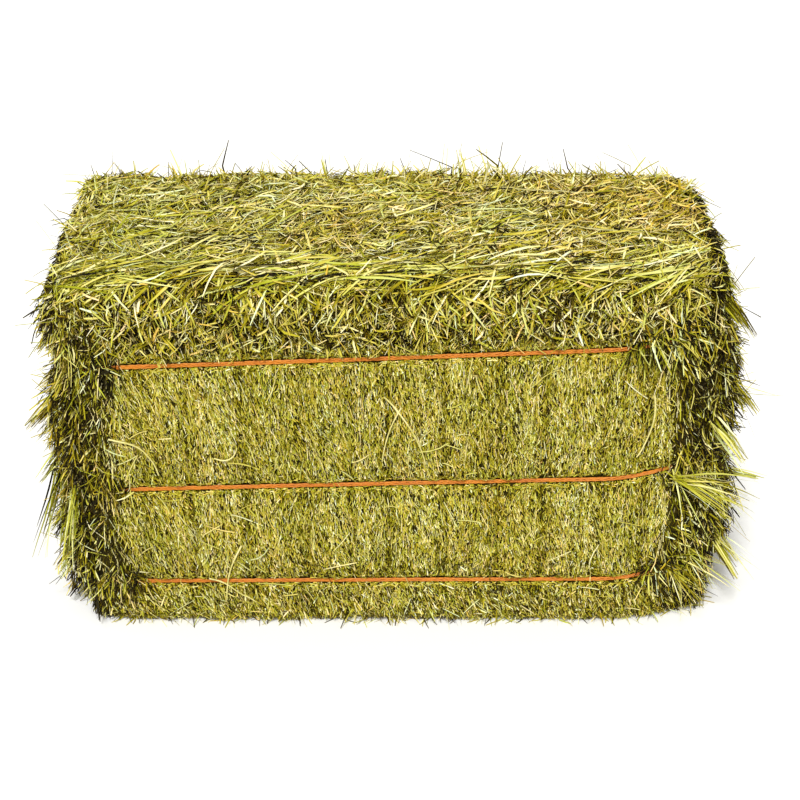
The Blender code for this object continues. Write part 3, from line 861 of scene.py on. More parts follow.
# %% The top
def on_top(kind, count, wide, length, middle, steps, rise, along=0.0, v_range=None, mixed=0.4, pale=0.08):
    """Strips on the top: a mixed share lies every way, the others near the main direction."""
    u, v = spread("top", count, None, v_range)
    patch = lumps(u * 0.5, v * 0.5, 17.0)
    swirl = lumps(u * 2.2, v * 2.2, 61.0)
    heading = math.radians(38 - 24 * along) + (1 - along) * (0.25 * patch + 0.35 * swirl)
    heading = heading + rng.normal(0, 0.60 - 0.40 * along, count)
    crossing = rng.normal(math.radians(85), 0.75, count)
    heading = np.where(rng.uniform(size=count) < mixed, crossing, heading)
    heading = heading + either_way(count)
    size = rng.uniform(*length, count)
    u = u - np.cos(heading) * size / 2
    v = v - np.sin(heading) * size / 2
    ups = (rng.uniform(*rise, count), rng.uniform(*rise, count))
    bend = rng.normal(0, 0.08 if steps > 2 else 0.22, count)
    points, normals = run("top", u, v, heading, size, bend, ups, steps, 1.0, steps > 2)
    golden = np.clip((u - 0.18) / 0.2, 0, 1) * np.clip((v + 0.06) / 0.12, 0, 1)
    grey = np.clip((-u - 0.12) / 0.25, 0, 1)
    hue = rng.normal(3.6 + 1.4 * golden - 1.5 * grey + 0.8 * patch - 1.6 * along, 1.4, count)
    tone = tones(count, middle, 0.18, 0.14, pale) + 0.04 * lumps(u * 0.7, v * 0.7, 23.0)
    tone = tone - 0.16 * np.clip((-0.135 - v) / 0.05, 0, 1)
    wide = rng.uniform(*wide, count)
    roll = rng.normal(0, 0.5, count)
    limit = rng.uniform(0.465, 0.492, count)
    right = limit - 0.018 - 0.018 * np.clip((v - 0.04) / 0.15, 0, 1)
    keep = (points[..., 0].max(1) < right) & (points[..., 0].min(1) > -limit - 0.006)
    add_batch(kind, points[keep], normals[keep], wide[keep], tone[keep], hue[keep], roll[keep],
              0.6 if kind == "tube" else 0.35, 1.0)


# kind, how many, width, length, tone, steps, depth, how far along the bale, v range, mixed share, pale
TOP_SORTS = [
    ("flat", 12500, (0.0012, 0.0026), (0.008, 0.026), 0.33, 1, (-0.009, -0.001), 0.0, None, 0.7),
    ("flat", 18000, (0.0010, 0.0022), (0.008, 0.030), 0.63, 1, (-0.006, 0.005), 0.0, None, 0.6, 0.16),
    ("folded", 2600, (0.0018, 0.0036), (0.014, 0.046), 0.72, 2, (-0.005, 0.009), 0.0, None, 0.4, 0.16),
    ("tube", 1700, (0.0013, 0.0024), (0.018, 0.064), 0.74, 2, (-0.003, 0.008), 0.1, None, 0.4, 0.2),
    ("folded", 200, (0.0024, 0.0042), (0.045, 0.110), 0.62, 4, (-0.001, 0.007), 0.4, None, 0.2),
    ("folded", 260, (0.0020, 0.0036), (0.040, 0.110), 0.60, 4, (-0.001, 0.008), 0.8, (-0.20, -0.14), 0.1),
    ("tube", 200, (0.0014, 0.0026), (0.040, 0.110), 0.64, 4, (0.0, 0.009), 0.7, (-0.20, -0.13), 0.1),
    ("folded", 150, (0.0022, 0.0038), (0.05, 0.12), 0.80, 4, (0.004, 0.011), 0.6, (-0.198, -0.11), 0.1, 0.3),
]
for sort in TOP_SORTS:
    on_top(*sort)
tell("strips so far")

# %% [markdown]
# ## The ends: thatch
# At the ends the hay isn't cut. The stems of the outermost flake swell out between the twines,
# point outwards and down, and stand in bunches with black gaps between. So they are grown in
# bunches: each bunch has one heading, one lift and one tone, and its stems stray only a little
# from them. Stems that rise little out of the hay, and short ends behind the bunches, are painted
# near black as shade in the gaps. The same bunches grow round the corners and hang over the ends
# of the twines.

# %% The ends
def bunches(side, places, headings, per_bunch, length, lift, middle, painted_shade=0.5, root=(-0.012, -0.002)):
    """Bunches of stems rooted at places on a side."""
    u0, v0 = places
    number = len(u0) * per_bunch
    which = np.repeat(np.arange(len(u0)), per_bunch)
    u = u0[which] + rng.normal(0, 0.010, number)
    v = np.clip(v0[which] + rng.normal(0, 0.010, number), 0.008, HEIGHT - 0.003)
    heads = headings[which] + rng.normal(0, 0.40, number)
    long = rng.uniform(*length, len(u0))[which] * rng.uniform(0.5, 1.2, number)
    long = np.minimum(long, v * 1.1 + 0.008)
    up = rng.uniform(*lift, len(u0))[which] * rng.uniform(0.3, 1.1, number)
    foot = np.where(u < 0, 0.13, 0.08) if side in ("front", "back") else {"left": 0.13}.get(side, 0.08)
    up = up * np.clip(v / foot, 0.15, 1) * np.clip((HEIGHT + 0.05 - v) / 0.12, 0.25, 1)
    rise = (rng.uniform(*root, number), up)
    shade = rng.normal(middle, 0.10, len(u0))[which] + rng.normal(0, 0.22, number)
    draw = rng.uniform(size=number)
    shade = shade - 0.22 * np.exp(-((v - 0.35) / 0.075) ** 2)
    # Painted shade: stems that rise little out of the hay are made near black, fewer of them the further
    # they stand out.
    shade = np.where(draw < painted_shade + 0.25 - 22 * up, rng.uniform(0.0, 0.03, number), shade)
    shade = np.where(draw > 0.90, rng.uniform(0.70, 0.94, number), shade)
    hue = rng.normal(2.7, 1.2, len(u0))[which] + rng.normal(0, 0.9, number)
    width = rng.uniform(0.0011, 0.0027, number)
    bend = rng.normal(0, 0.25, number)
    roll = rng.normal(0, 0.7, number)
    order = rng.permutation(number)
    cut = number // 4
    for kind, pick in (("tube", order[:cut]), ("flat", order[cut:])):
        points, normals = run(side, u[pick], v[pick], heads[pick], long[pick], bend[pick],
                              (rise[0][pick], rise[1][pick]), 2, 0.9)
        add_batch(kind, points, normals, width[pick], shade[pick], hue[pick], roll[pick], 0.6, 1.0)


def thatch(side, count, per_bunch, low=0.012, high=HEIGHT - 0.002):
    """Bunches over an end, three short ones for each long one."""
    u_low, u_high = SIDES[side][1:3]
    v = rng.uniform(low, high, count)
    u = rng.uniform(u_low - 0.015, u_high + 0.015, count)
    for which in TWINE_HEIGHTS:
        level = float(twine_height(which, np.array(0.47 if side == "right" else -0.47), False))
        v = np.where(np.abs(v - level) < 0.010, v + 0.024, v)
    headings = -math.pi / 2 + u * 1.2 + rng.normal(0, 0.50, count)
    short = np.arange(count) % 4 > 0
    sorts = ((short, (0.008, 0.026), (0.005, 0.018), 0.44, 0.6),
             (~short, (0.022, 0.056), (0.006, 0.024), 0.46, 0.45))
    for pick, *sort in sorts:
        bunches(side, (u[pick], v[pick]), headings[pick], per_bunch, *sort)


def corner_thatch(side, end, count, per_bunch):
    """Bunches at the ends of the front and the back, which stand outwards and hang down."""
    sign = 1.0 if end == "right" else -1.0
    v = rng.uniform(0.030, HEIGHT - 0.020, count)
    edge = np.interp(v, *THATCH_EDGE[end])
    u = sign * (edge + (0.500 - edge) * rng.uniform(0.12, 1.0, count) + 0.004)
    headings = -math.pi / 2 + sign * rng.normal(0.18 if sign > 0 else 0.05, 0.36, count)
    short = np.arange(count) % 3 > 0
    sorts = ((short, (0.008, 0.024), (0.003, 0.014), 0.46, 0.6),
             (~short, (0.020, 0.052), (0.004, 0.022), 0.48, 0.42))
    for pick, *sort in sorts:
        bunches(side, (u[pick], v[pick]), headings[pick], per_bunch, *sort)
    number = 2700 if side == "front" else 900
    # Painted shade: a layer of short chips under the corner bunches, half of them dark brown to black.
    v = rng.uniform(0.020, HEIGHT - 0.020, number)
    edge = np.interp(v, *THATCH_EDGE[end])
    u = sign * (edge + (0.488 - edge) * rng.uniform(-0.05, 1.0, number))
    scatter("flat", side, u, v, (-math.pi / 2 + sign * 0.2, 0.55), (0.005, 0.016),
            ((-0.008, -0.003), (-0.002, 0.005)), 0, (0.0010, 0.0022), (0.31, 0.20, 0.50, 0.10),
            (3, 1.5), 0.6, (0.7, 0.4, 0.0))
    for which in TWINE_HEIGHTS:
        level = float(twine_height(which, sign * 0.42, side == "back"))
        start = float(np.interp(level, *THATCH_EDGE[end]))
        u = sign * np.arange(start + 0.010, 0.480, 0.0055)
        number = len(u)
        v = twine_height(which, u, side == "back") + rng.uniform(0.010, 0.018, number)
        headings = -math.pi / 2 + sign * rng.normal(0.15, 0.25, number)
        bunches(side, (u, v), headings, 14, (0.032, 0.046), (0.012, 0.020), 0.50, 0.5, (0.002, 0.007))


def stubble(side, count):
    """Short ends between and behind the bunches, four in five of them near black as painted shade."""
    u, v = spread(side, count)
    heading = rng.normal(-math.pi / 2, 0.9, count)
    rise = (rng.uniform(-0.012, -0.004, count), rng.uniform(-0.006, 0.002, count))
    points, normals = run(side, u, v, heading, rng.uniform(0.008, 0.024, count),
                          np.zeros(count), rise, 1)
    tone = np.where(rng.uniform(size=count) < 0.2, tones(count, 0.38, 0.22), tones(count, 0.01, 0.04))
    add_batch("flat", points, normals, rng.uniform(0.0012, 0.0026, count), tone, rng.normal(3, 1.5, count),
              rng.normal(0, 0.6, count), 0.7, 0.4)


for end in ("left", "right"):
    stubble(end, 7500)
    thatch(end, 300, 20)
    thatch(end, 44, 18, 0.505, 0.575)
    corner_thatch("front", end, 104, 18)
    corner_thatch("back", end, 96, 18)
tell("strips so far")

# %% [markdown]
# ## Strays and fans
# Against the light one sees single stems that stand off the ends and the top, many with a kink.
# They grow into the air, so each is a short bent line from a root on the bale. The fans are tufts
# of long green blades that have slipped out of the pressed hay.

# %% Strays and fans
def sprout(root, aim, length, droop, kink, steps=4):
    """Centre points of stems that leave the bale at a root and go their own way."""
    t = np.linspace(0, 1, steps + 1)
    aim = unit(aim)
    swerve = unit(np.cross(aim, rng.normal(size=aim.shape)))
    forward = aim[:, None] * (t * length[:, None])[..., None]
    aside = swerve[:, None] * (np.clip(t - 0.5, 0, 1) * (kink * length)[:, None])[..., None]
    fall = np.array([0.0, 0.0, -1.0]) * (t * t * (droop * length)[:, None])[..., None]
    points = root[:, None] + forward + aside + fall
    return points, np.broadcast_to(swerve[:, None], points.shape)


def strays(side, count, u_range, v_range, lean, length, width, middle, kind="tube"):
    """Stems that stand off a side, at a lean between lying flat (0) and straight out (1)."""
    u, v = spread(side, count, u_range, v_range)
    root, normal = on_side(side, u, v)
    root = root - normal * 0.006
    flat = unit(np.cross(normal, rng.normal(size=normal.shape)))
    share = rng.uniform(*lean, count)[:, None]
    aim = normal * share + flat * (1 - share)
    long = rng.uniform(*length, count)
    points, normals = sprout(root, aim, long, rng.uniform(0.0, 0.4, count), rng.normal(0, 1.1, count))
    add_batch(kind, points, normals, *looks(count, width, (middle, 0.16, 0.1, 0.1), (2.8, 1.5), 0), 0.6)


# how many, u range, v range, lean, length, width, tone, kind
TOP_STRAYS = [
    (2400, None, (0.140, 0.204), (0.05, 0.42), (0.010, 0.030), (0.0012, 0.0028), 0.60, "flat"),
    (420, None, (0.150, 0.204), (0.10, 0.45), (0.012, 0.042), (0.0012, 0.0024), 0.55, "tube"),
    (420, (-0.482, -0.38), None, (0.15, 0.7), (0.012, 0.042), (0.0012, 0.0028), 0.52, "flat"),
    (320, (0.37, 0.446), None, (0.15, 0.7), (0.012, 0.034), (0.0012, 0.0028), 0.52, "flat"),
    (420, None, None, (0.10, 0.35), (0.012, 0.035), (0.0014, 0.0032), 0.62, "flat"),
]
for sort in TOP_STRAYS:
    strays("top", *sort)
for end in ("left", "right"):
    strays(end, 330, None, (0.08, 0.56), (0.25, 0.8), (0.018, 0.050), (0.0010, 0.0022), 0.46)
    edge = (0.42, 0.475) if end == "right" else (-0.475, -0.42)
    for side in ("front", "back"):
        strays(side, 90, edge, (0.04, 0.55), (0.1, 0.45), (0.018, 0.045), (0.0010, 0.0022), 0.50)

# %% [markdown]
# ## Tufts and the foot
# Along the back edge of the top small tufts stand up. At the foot of the long faces stems have
# slipped out and lie on the floor.

# %% Tufts and stems at the foot
def tufts(count, per_tuft):
    """Small loose tufts along the back edge of the top, most of them right of the middle."""
    gathered = rng.uniform(size=count) < 0.35
    x = np.where(gathered, rng.normal(0.15, 0.10, count), rng.uniform(-0.46, 0.43, count))
    which = np.repeat(np.arange(count), per_tuft)
    number = len(which)
    u = x[which] + rng.normal(0, 0.012, number)
    v = rng.uniform(0.150, 0.200, count)[which] + rng.normal(0, 0.008, number)
    root, _ = on_side("top", u, np.clip(v, -0.2, 0.2))
    lean = rng.normal(0, 1.0, count)[which] + rng.normal(0, 0.6, number)
    aim = np.stack([lean, rng.normal(0.1, 0.4, number), rng.uniform(0.15, 0.75, number)], -1)
    tall = np.where(rng.uniform(size=count) < 0.3, 1.7, 1.0)[which]
    long = rng.uniform(0.012, 0.036, number) * tall
    kink = rng.normal(0, 1.2, number)
    points, normals = sprout(root - (0, 0, 0.004), aim, long, rng.uniform(0.1, 0.5, number), kink)
    look = looks(number, (0.0014, 0.0032), (0.56, 0.17, 0.14, 0.12), (3.2, 1.3), 0.7)
    add_batch("flat", points, normals, *look, 0.5)


def foot_stems(side, count):
    """Stems at the foot of a long face, which have slipped out and lie on the floor."""
    sign = -1.0 if side == "front" else 1.0
    x, z = rng.uniform(-0.43, 0.44, count), rng.uniform(0.004, 0.026, count)
    root = np.stack([x, sign * (half_depth(x) - 0.016), z], -1)
    aim = np.stack([rng.normal(0, 0.9, count), sign * rng.uniform(0.3, 1.0, count),
                    rng.normal(-0.25, 0.2, count)], -1)
    points, normals = sprout(root, aim, rng.uniform(0.010, 0.036, count), rng.uniform(0.0, 0.4, count),
                             rng.normal(0, 0.5, count))
    look = looks(count, (0.0014, 0.0028), (0.55, 0.18, 0.25, 0.12), (3.2, 1.3), 0)
    add_batch("flat", points, normals, *look, 0.5)


tufts(105, 14)
for side in ("front", "back"):
    foot_stems(side, 520)

# %% [markdown]
# ## Fans
# A fan starts in one place and spreads. The clearest ones are where the photo has them, at both
# ends, and two more are at the back.

# %% Fans of blades
# root, direction, length, how far the blades spread, blades, width, tone, hue
FANS = [
    ((0.405, -0.204, 0.264), (1.0, -0.12, -0.50), 0.115, 0.24, 18, 0.0042, 0.62, 1.8),
    ((0.425, -0.200, 0.256), (1.0, -0.15, -0.28), 0.110, 0.20, 16, 0.0030, 0.50, 2.2),
    ((0.500, -0.150, 0.235), (1.0, -0.25, -0.05), 0.070, 0.10, 3, 0.0016, 0.76, 2.0),
    ((0.490, -0.130, 0.190), (1.0, -0.30, -0.30), 0.080, 0.22, 9, 0.0015, 0.74, 1.8),
    ((0.490, -0.150, 0.120), (1.0, -0.25, -0.70), 0.080, 0.22, 10, 0.0015, 0.62, 1.8),
    ((0.462, -0.175, 0.345), (0.9, -0.20, -0.95), 0.075, 0.16, 9, 0.0044, 0.56, 1.5),
    ((0.440, -0.180, 0.115), (1.0, -0.15, -0.75), 0.100, 0.24, 16, 0.0030, 0.58, 2.4),
    ((0.415, -0.190, 0.092), (0.8, -0.20, -1.00), 0.080, 0.25, 16, 0.0026, 0.62, 3.0),
    ((0.440, -0.160, 0.050), (1.0, -0.25, -0.40), 0.060, 0.22, 20, 0.0024, 0.58, 3.0),
    ((-0.466, -0.200, 0.245), (-0.20, -0.12, -1.0), 0.140, 0.11, 20, 0.0036, 0.36, 0.8),
    ((-0.496, -0.160, 0.255), (-0.25, -0.20, -1.0), 0.130, 0.13, 22, 0.0034, 0.30, 0.8),
    ((-0.478, -0.120, 0.320), (-0.80, -0.20, -0.9), 0.075, 0.22, 16, 0.0026, 0.44, 2.0),
    ((-0.435, -0.190, 0.085), (-0.50, -0.20, -1.0), 0.065, 0.22, 14, 0.0030, 0.70, 3.0),
    ((-0.440, -0.150, 0.545), (-1.0, -0.30, 0.15), 0.065, 0.45, 14, 0.0028, 0.54, 2.0),
    ((-0.455, 0.120, 0.400), (-1.0, 0.40, -0.50), 0.080, 0.30, 16, 0.0030, 0.54, 2.4),
    ((0.455, 0.130, 0.300), (1.0, 0.40, -0.50), 0.080, 0.30, 16, 0.0030, 0.54, 2.4),
    ((-0.465, -0.165, 0.505), (-1.0, -0.20, 0.30), 0.075, 0.35, 7, 0.0022, 0.45, 3.5),
    ((-0.475, -0.160, 0.440), (-1.0, -0.20, -0.10), 0.075, 0.30, 6, 0.0020, 0.45, 4.0),
    ((0.480, -0.170, 0.400), (1.0, -0.20, -0.40), 0.080, 0.35, 10, 0.0018, 0.38, 3.0),
]
for root, direction, length, spread_by, count, wide, middle, hue in FANS:
    aim = unit(np.array([direction])) + rng.normal(0, spread_by, (count, 3))
    start = np.array([root]) + rng.normal(0, 0.006, (count, 3))
    long = length * rng.uniform(0.55, 1.0, count)
    points, normals = sprout(start, aim, long, rng.uniform(0.0, 0.25, count), rng.normal(0, 0.15, count), 5)
    add_batch("folded", points, normals, wide * rng.uniform(0.5, 1.1, count),
              tones(count, middle, 0.20, 0.08, 0.12), rng.normal(hue, 0.8, count), 0.0, 0.2, 1.0)
tell("strips so far")

# %% [markdown]
# ## Locks
# The solids carry locks where bundles of stems stand well out of the ends and the top. Each lock
# is built again here, as a loose bundle of strips from the same root to the same tip.

# %% Locks
def bent_path(root, direction, length, droop, steps):
    """Points from a root in a direction, which sink more and more on the way."""
    direction = Vector(direction).normalized()
    t = np.linspace(0, 1, steps + 1)[:, None]
    fall = np.array([[0.0, 0.0, -droop * length]])
    return np.array(root)[None, :] + np.array(direction)[None, :] * length * t + fall * t * t


def end_reach_at(z, right):
    return float(end_reach(np.array(z), np.array(right)))


def end_locks(x_side):
    """The same rows of locks as the solids have: root, direction, length, width, droop."""
    locks = []
    draw = random.Random(31 if x_side > 0 else 57)
    x = np.array(x_side * END_AT_TWINE)
    low, mid, high = (float(twine_height(which, x, False)) for which in TWINE_HEIGHTS)
    bands = ((low + 0.045, mid - 0.035, 3), (mid + 0.045, high - 0.035, 4), (high + 0.050, 0, 1))
    for bottom, top, rows in bands:
        for row in range(rows):
            z = bottom + (top - bottom) * row / max(1, rows - 1)
            for column in range(3):
                y = -0.118 + 0.118 * column + (0.030 if row % 2 else -0.020)
                y += draw.uniform(-0.010, 0.010)
                root = (x_side * max(end_reach_at(z, x_side > 0) - 0.024, FLAKE_SPAN + 0.017), y, z)
                direction = (x_side, y * 2.6, draw.uniform(-0.75, -0.35))
                length = draw.uniform(0.056, 0.072)
                wide = draw.uniform(0.030, 0.042)
                locks.append((root, direction, length, wide, draw.uniform(0.25, 0.40)))
    return locks

# %% [markdown]
# ## Locks placed one by one
# The longest locks of the ends, and all of the top's, have places of their own in the solids.

# %% The long locks and those of the top
LONG_END_LOCKS = {
    -1: [((-0.480, -0.070, 0.315), (-1, -0.35, 0.25), 0.088, 0.016, 0.55),
         ((-0.470, -0.150, 0.125), (-1, -0.9, -1.1), 0.075, 0.018, 0.10),
         ((-0.475, 0.030, 0.150), (-1, 0.2, 0.1), 0.082, 0.014, 0.60)],
    1: [((0.475, -0.120, 0.222), (1, -0.30, 0.15), 0.090, 0.014, 0.15),
        ((0.475, -0.155, 0.135), (1, -0.9, -1.1), 0.080, 0.018, 0.10),
        ((0.480, 0.050, 0.400), (1, 0.3, 0.2), 0.080, 0.016, 0.50)],
}
TOP_LOCKS = {
    3: [(0.178, (-0.5, 0.5, 1.0), 0.058)],
    4: [(0.170, (0.7, 0.4, 0.8), 0.060), (-0.178, (0.4, -1.0, 0.7), 0.045)],
    6: [(0.185, (-0.25, 0.45, 1.0), 0.066), (-0.170, (-0.6, -0.8, 0.7), 0.048)],
    7: [(0.170, (0.35, 0.5, 0.9), 0.062)],
    8: [(0.180, (0.9, 0.3, 0.8), 0.066), (-0.175, (0.5, -0.9, 0.6), 0.045)],
    9: [(0.186, (-0.2, 0.4, 1.0), 0.070)],
    10: [(0.180, (0.8, 0.3, 0.7), 0.066), (-0.172, (-0.4, -0.8, 0.8), 0.046)],
    11: [(0.165, (-0.6, 0.5, 0.8), 0.055)],
}


def bundle(path, wide, thick, count, middle, strip=(0.0012, 0.0025)):
    """Strips that follow one path inside a lock, spread at the root and gathered at the tip."""
    steps = len(path) - 1
    t = np.linspace(0, 1, steps + 1)
    ahead = unit(np.gradient(path, axis=0))
    across = unit(np.cross(ahead, np.array([[0.0, 0.0, 1.0]])))
    up = np.cross(across, ahead)
    side = rng.uniform(-0.5, 0.5, count)[:, None] * wide
    rise = rng.uniform(-0.5, 0.5, count)[:, None] * thick
    gather = (1 - 0.55 * t)[None, :]
    splay = rng.normal(0, 0.16, (count, 1)) * wide * t[None, :]
    reach = rng.uniform(0.62, 1.0, count)[:, None]
    grown = path[None, :1] + (path[None] - path[None, :1]) * reach[..., None]
    points = (grown + across[None] * (side * gather + splay)[..., None]
              + up[None] * (rise * gather)[..., None])
    normals = np.broadcast_to(up[None], points.shape)
    half = count * 2 // 3
    width = rng.uniform(*strip, count)
    tone = tones(count, middle, 0.16, 0.14, 0.12)
    hue = rng.normal(rng.normal(2.6, 1.0), 1.0, count)
    add_batch("folded", points[:half], normals[:half], width[:half] * 1.3, tone[:half], hue[:half],
              rng.normal(0, 0.5, half), 0.3, 1.0)
    add_batch("tube", points[half:], normals[half:], width[half:], tone[half:], hue[half:], 0.0, 0.5, 1.0)


for x_side in (-1, 1):
    for root, direction, length, wide, droop in end_locks(x_side):
        bundle(bent_path(root, direction, length, droop, 3), wide, 0.016, 34, rng.normal(0.42, 0.08))
    for root, direction, length, wide, droop in LONG_END_LOCKS[x_side]:
        bundle(bent_path(root, direction, length, droop, 5), wide, 0.010, 20, 0.62, (0.0014, 0.0030))
for flake, locks in TOP_LOCKS.items():
    middle = (boundaries[flake - 2][0] + boundaries[flake - 1][0]) / 2
    for y, direction, length in locks:
        path = bent_path((middle, y, HEIGHT - 0.018), direction, length, 0.10, 4)
        bundle(path, 0.013, 0.008, 7, 0.66, (0.0016, 0.0034))
tell("strips so far")

# %% [markdown]
# ## The underside
# The bale stands on its underside, so the stems there are pressed flat and short. They stay just
# above the floor.

# %% The underside
def under_strips(count):
    u, v = spread("under", count)
    heading = rng.normal(0, 0.7, count)
    length = rng.uniform(0.02, 0.06, count)
    flat = (np.full(count, -0.0004), np.full(count, -0.0001))
    points, normals = run("under", u, v, heading, length, rng.normal(0, 0.3, count), flat, 2)
    look = looks(count, (0.0015, 0.0032), (0.42, 0.14, 0.1, 0.03), (3.4, 1.4), 0)
    add_batch("flat", points, normals, *look, 0.5, 0.6)


under_strips(5000)
tell("all strips")

# %% [markdown]
# ## One piece of hay per flake
# A bale comes apart in flakes, so the strips are sorted by the flake that they are rooted in, and
# each flake becomes one mesh.

# %% Sort the strips into flakes
def flake_number(points):
    """0 to 13 for each root point, from the seams between the flakes."""
    number = np.zeros(len(points), int)
    for place, lean_y, lean_z in boundaries:
        seam = place + lean_y * points[:, 1] + lean_z * (points[:, 2] - HEIGHT / 2)
        number += points[:, 0] > seam
    return number


homes = [flake_number(batch["points"][:, 0]) for batch in batches]
total_triangles = 0
for flake in range(INNER_FLAKES + 2):
    picks = [(batch, home == flake) for batch, home in zip(batches, homes)]
    parts = [strip_mesh(batch, pick) for batch, pick in picks if pick.any()]
    piece = make_mesh(f"flake_{flake + 1:02d}_stems", *joined(parts))
    triangles = 2 * len(piece.data.polygons)
    total_triangles += triangles
    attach(piece, "root")
    print(piece.name, triangles)
print("triangles in strips", total_triangles, round(time.time() - started, 1), "s")

# %% [markdown]
# ## The pressed hay behind the strips
# Between the strips one looks into the flake itself, a dark felt of crushed stems. It is a body of
# the flake's own form, a little under the surface, ridged like the hay and coloured by stretched
# noise, mixed towards near black as painted shade: a quarter of the way under the cut faces, most
# of the way at the ends.

# %% Material of the pressed hay
def bed_finish(name, painted_shade):
    """Felted hay, with painted shade: mixed towards near black for lying deep between the stems."""
    finish = Finish(name)
    upright = finish.place((620.0, 620.0, 70.0), (0.0, 0.25, 0.0))
    fibres = finish.noise(upright, 1.0, 4.0, 0.6)
    patches = finish.noise(finish.place((40.0, 40.0, 40.0)), 1.0, 2.0)
    stops = [(0.30, srgb(30, 24, 6)), (0.50, srgb(64, 56, 16)),
             (0.64, srgb(98, 90, 30)), (0.80, srgb(140, 130, 50))]
    felt = finish.node("ShaderNodeValToRGB", {"stops": stops}, [fibres * 0.8 + patches * 0.2])
    colour = finish.mix(felt, srgb(6, 5, 2), painted_shade)
    bump = finish.node("ShaderNodeBump", {}, {"Strength": 0.8, "Distance": 0.003, "Height": fibres})
    finish.surface(Base_Color=colour, Roughness=0.95, Normal=bump, Specular_IOR_Level=0.1)
    return finish.material


# Painted shade: the pressed hay is mixed a quarter of the way to near black, the ends' hay most of the way.
pressed_material = bed_finish("pressed_hay", 0.25)
end_material = bed_finish("deep_hay_painted_shade", 0.85)
BED_DEPTH = 0.0040            # how far the pressed hay lies under the cut faces
LOOSE_DEPTH = 0.0110          # and how much further where the hay is loose
BED_ROWS = 64
BED_COLUMNS = 14

# %% [markdown]
# ## The inner flakes
# An inner flake is a closed loft: seven rings of points between its two seams, each ring once
# round the bale.

# %% The form of an inner flake
def ring_rows(count):
    z = np.linspace(0.0, 1.0, count)
    return LOWEST + (HEIGHT - 0.0090 - LOWEST) * z


def bed_depth(x, z, back):
    """The pressed hay lies deeper above the top twine, where the hay is loose."""
    above = np.clip((z - twine_height("top", x, back) - 0.004) / 0.016, 0, 1)
    return BED_DEPTH + LOOSE_DEPTH * above * np.clip((HEIGHT + 0.020 - z) / 0.030, 0, 1)


def inner_bed(number):
    """The pressed body of an inner flake: a closed loft between its two seams."""
    rows = ring_rows(BED_ROWS)
    across = np.linspace(-0.165, 0.165, BED_COLUMNS)
    sides = ((boundaries[number - 1], 0.0002), (boundaries[number], -0.0002))
    rings = []
    for part in np.linspace(0.0, 1.0, 7):
        place = boundaries[number - 1][0] * (1 - part) + boundaries[number][0] * part
        column = np.full(BED_ROWS, place)
        front = -face_depth(column, rows, False) + bed_depth(column, rows, False)
        back = face_depth(column, rows, True) - bed_depth(column, rows, True)
        top = top_side(np.full(BED_COLUMNS, place), across)
        y = np.concatenate([front, top[:, 1], back[::-1], top[::-1, 1] * 1.05])
        z = np.concatenate([rows, top[:, 2] - 0.0085, rows[::-1], np.full(BED_COLUMNS, LOWEST)])
        seams = [base + lean_y * y + lean_z * (z - HEIGHT / 2) + gap
                 for (base, lean_y, lean_z), gap in sides]
        x = seams[0] * (1 - part) + seams[1] * part
        rings.append(np.stack([x, y, z], -1))
    return np.array(rings)

# %% [markdown]
# ## The end flakes
# An end flake is a stack of level outlines, because it swells between the twines. The fourteen
# bodies stand in for the fourteen flakes of the solids.

# %% Lofts and the end flakes
def loft(name, rings, material):
    """A closed body from rings of points, with a flat cap at each end."""
    stations, count = rings.shape[:2]
    caps = [list(range(count)), list(range((stations - 1) * count, stations * count))]
    mesh = bpy.data.meshes.new(name)
    mesh.from_pydata(rings.reshape(-1, 3).tolist(), [], ring_quads(stations, count).tolist() + caps)
    mesh.update()
    mesh.materials.append(material)
    piece = bpy.data.objects.new(name, mesh)
    bpy.context.scene.collection.objects.link(piece)
    return piece


def end_bed(number):
    """The pressed body of an end flake: level outlines stacked from the floor to the top."""
    right = number > 0
    sign = 1.0 if right else -1.0
    base, lean_y, lean_z = boundaries[-1 if right else 0]
    rings = []
    for z in ring_rows(76):
        depth = float(face_depth(np.array(sign * (FLAKE_SPAN + 0.004)), np.array(z), False)) - 0.0100
        reach = max(end_reach_at(z, right) - LOOSE_DEPTH, FLAKE_SPAN + 0.013)
        corner = min(END_CORNER, max(0.006, reach - FLAKE_SPAN - 0.006))
        plan = [(FLAKE_SPAN, -depth)]
        for turn in np.linspace(0, math.pi / 2, 9):
            out = reach - corner + corner * math.sin(turn)
            plan.append((out, -depth + END_CORNER * (1 - math.cos(turn))))
        for y in np.linspace(-(depth - END_CORNER), 0, 8)[1:]:
            plan.append((reach, y))
        plan = plan + [(x, -y) for x, y in reversed(plan[:-1])]
        ring = []
        for place, (x, y) in enumerate(plan):
            x = sign * x
            if place in (0, len(plan) - 1):
                x = base + lean_y * y + lean_z * (z - HEIGHT / 2) + sign * 0.0002
            elif abs(y) < depth - 0.01:
                x = x + sign * 0.003 * float(lumps(np.array(y * 2), np.array(z * 2), 6.0))
            ring.append((x, y, z))
        rings.append(ring)
    return np.array(rings)


for flake in range(INNER_FLAKES + 2):
    end = flake in (0, INNER_FLAKES + 1)
    rings = end_bed(flake) if end else inner_bed(flake)
    bed = loft(f"flake_{flake + 1:02d}_pressed", rings, end_material if end else pressed_material)
    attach(bed, "root")
    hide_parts(f"flake_{flake + 1:02d}")
print("pressed bodies made", round(time.time() - started, 1), "s")

# %% [markdown]
# ## The twines
# Baler twine is a bundle of split plastic film, twisted and pulled flat against the hay. Five
# strands wind round the middle line of the twine, and each is a tube that is a little uneven, so
# the light breaks on it in stripes.

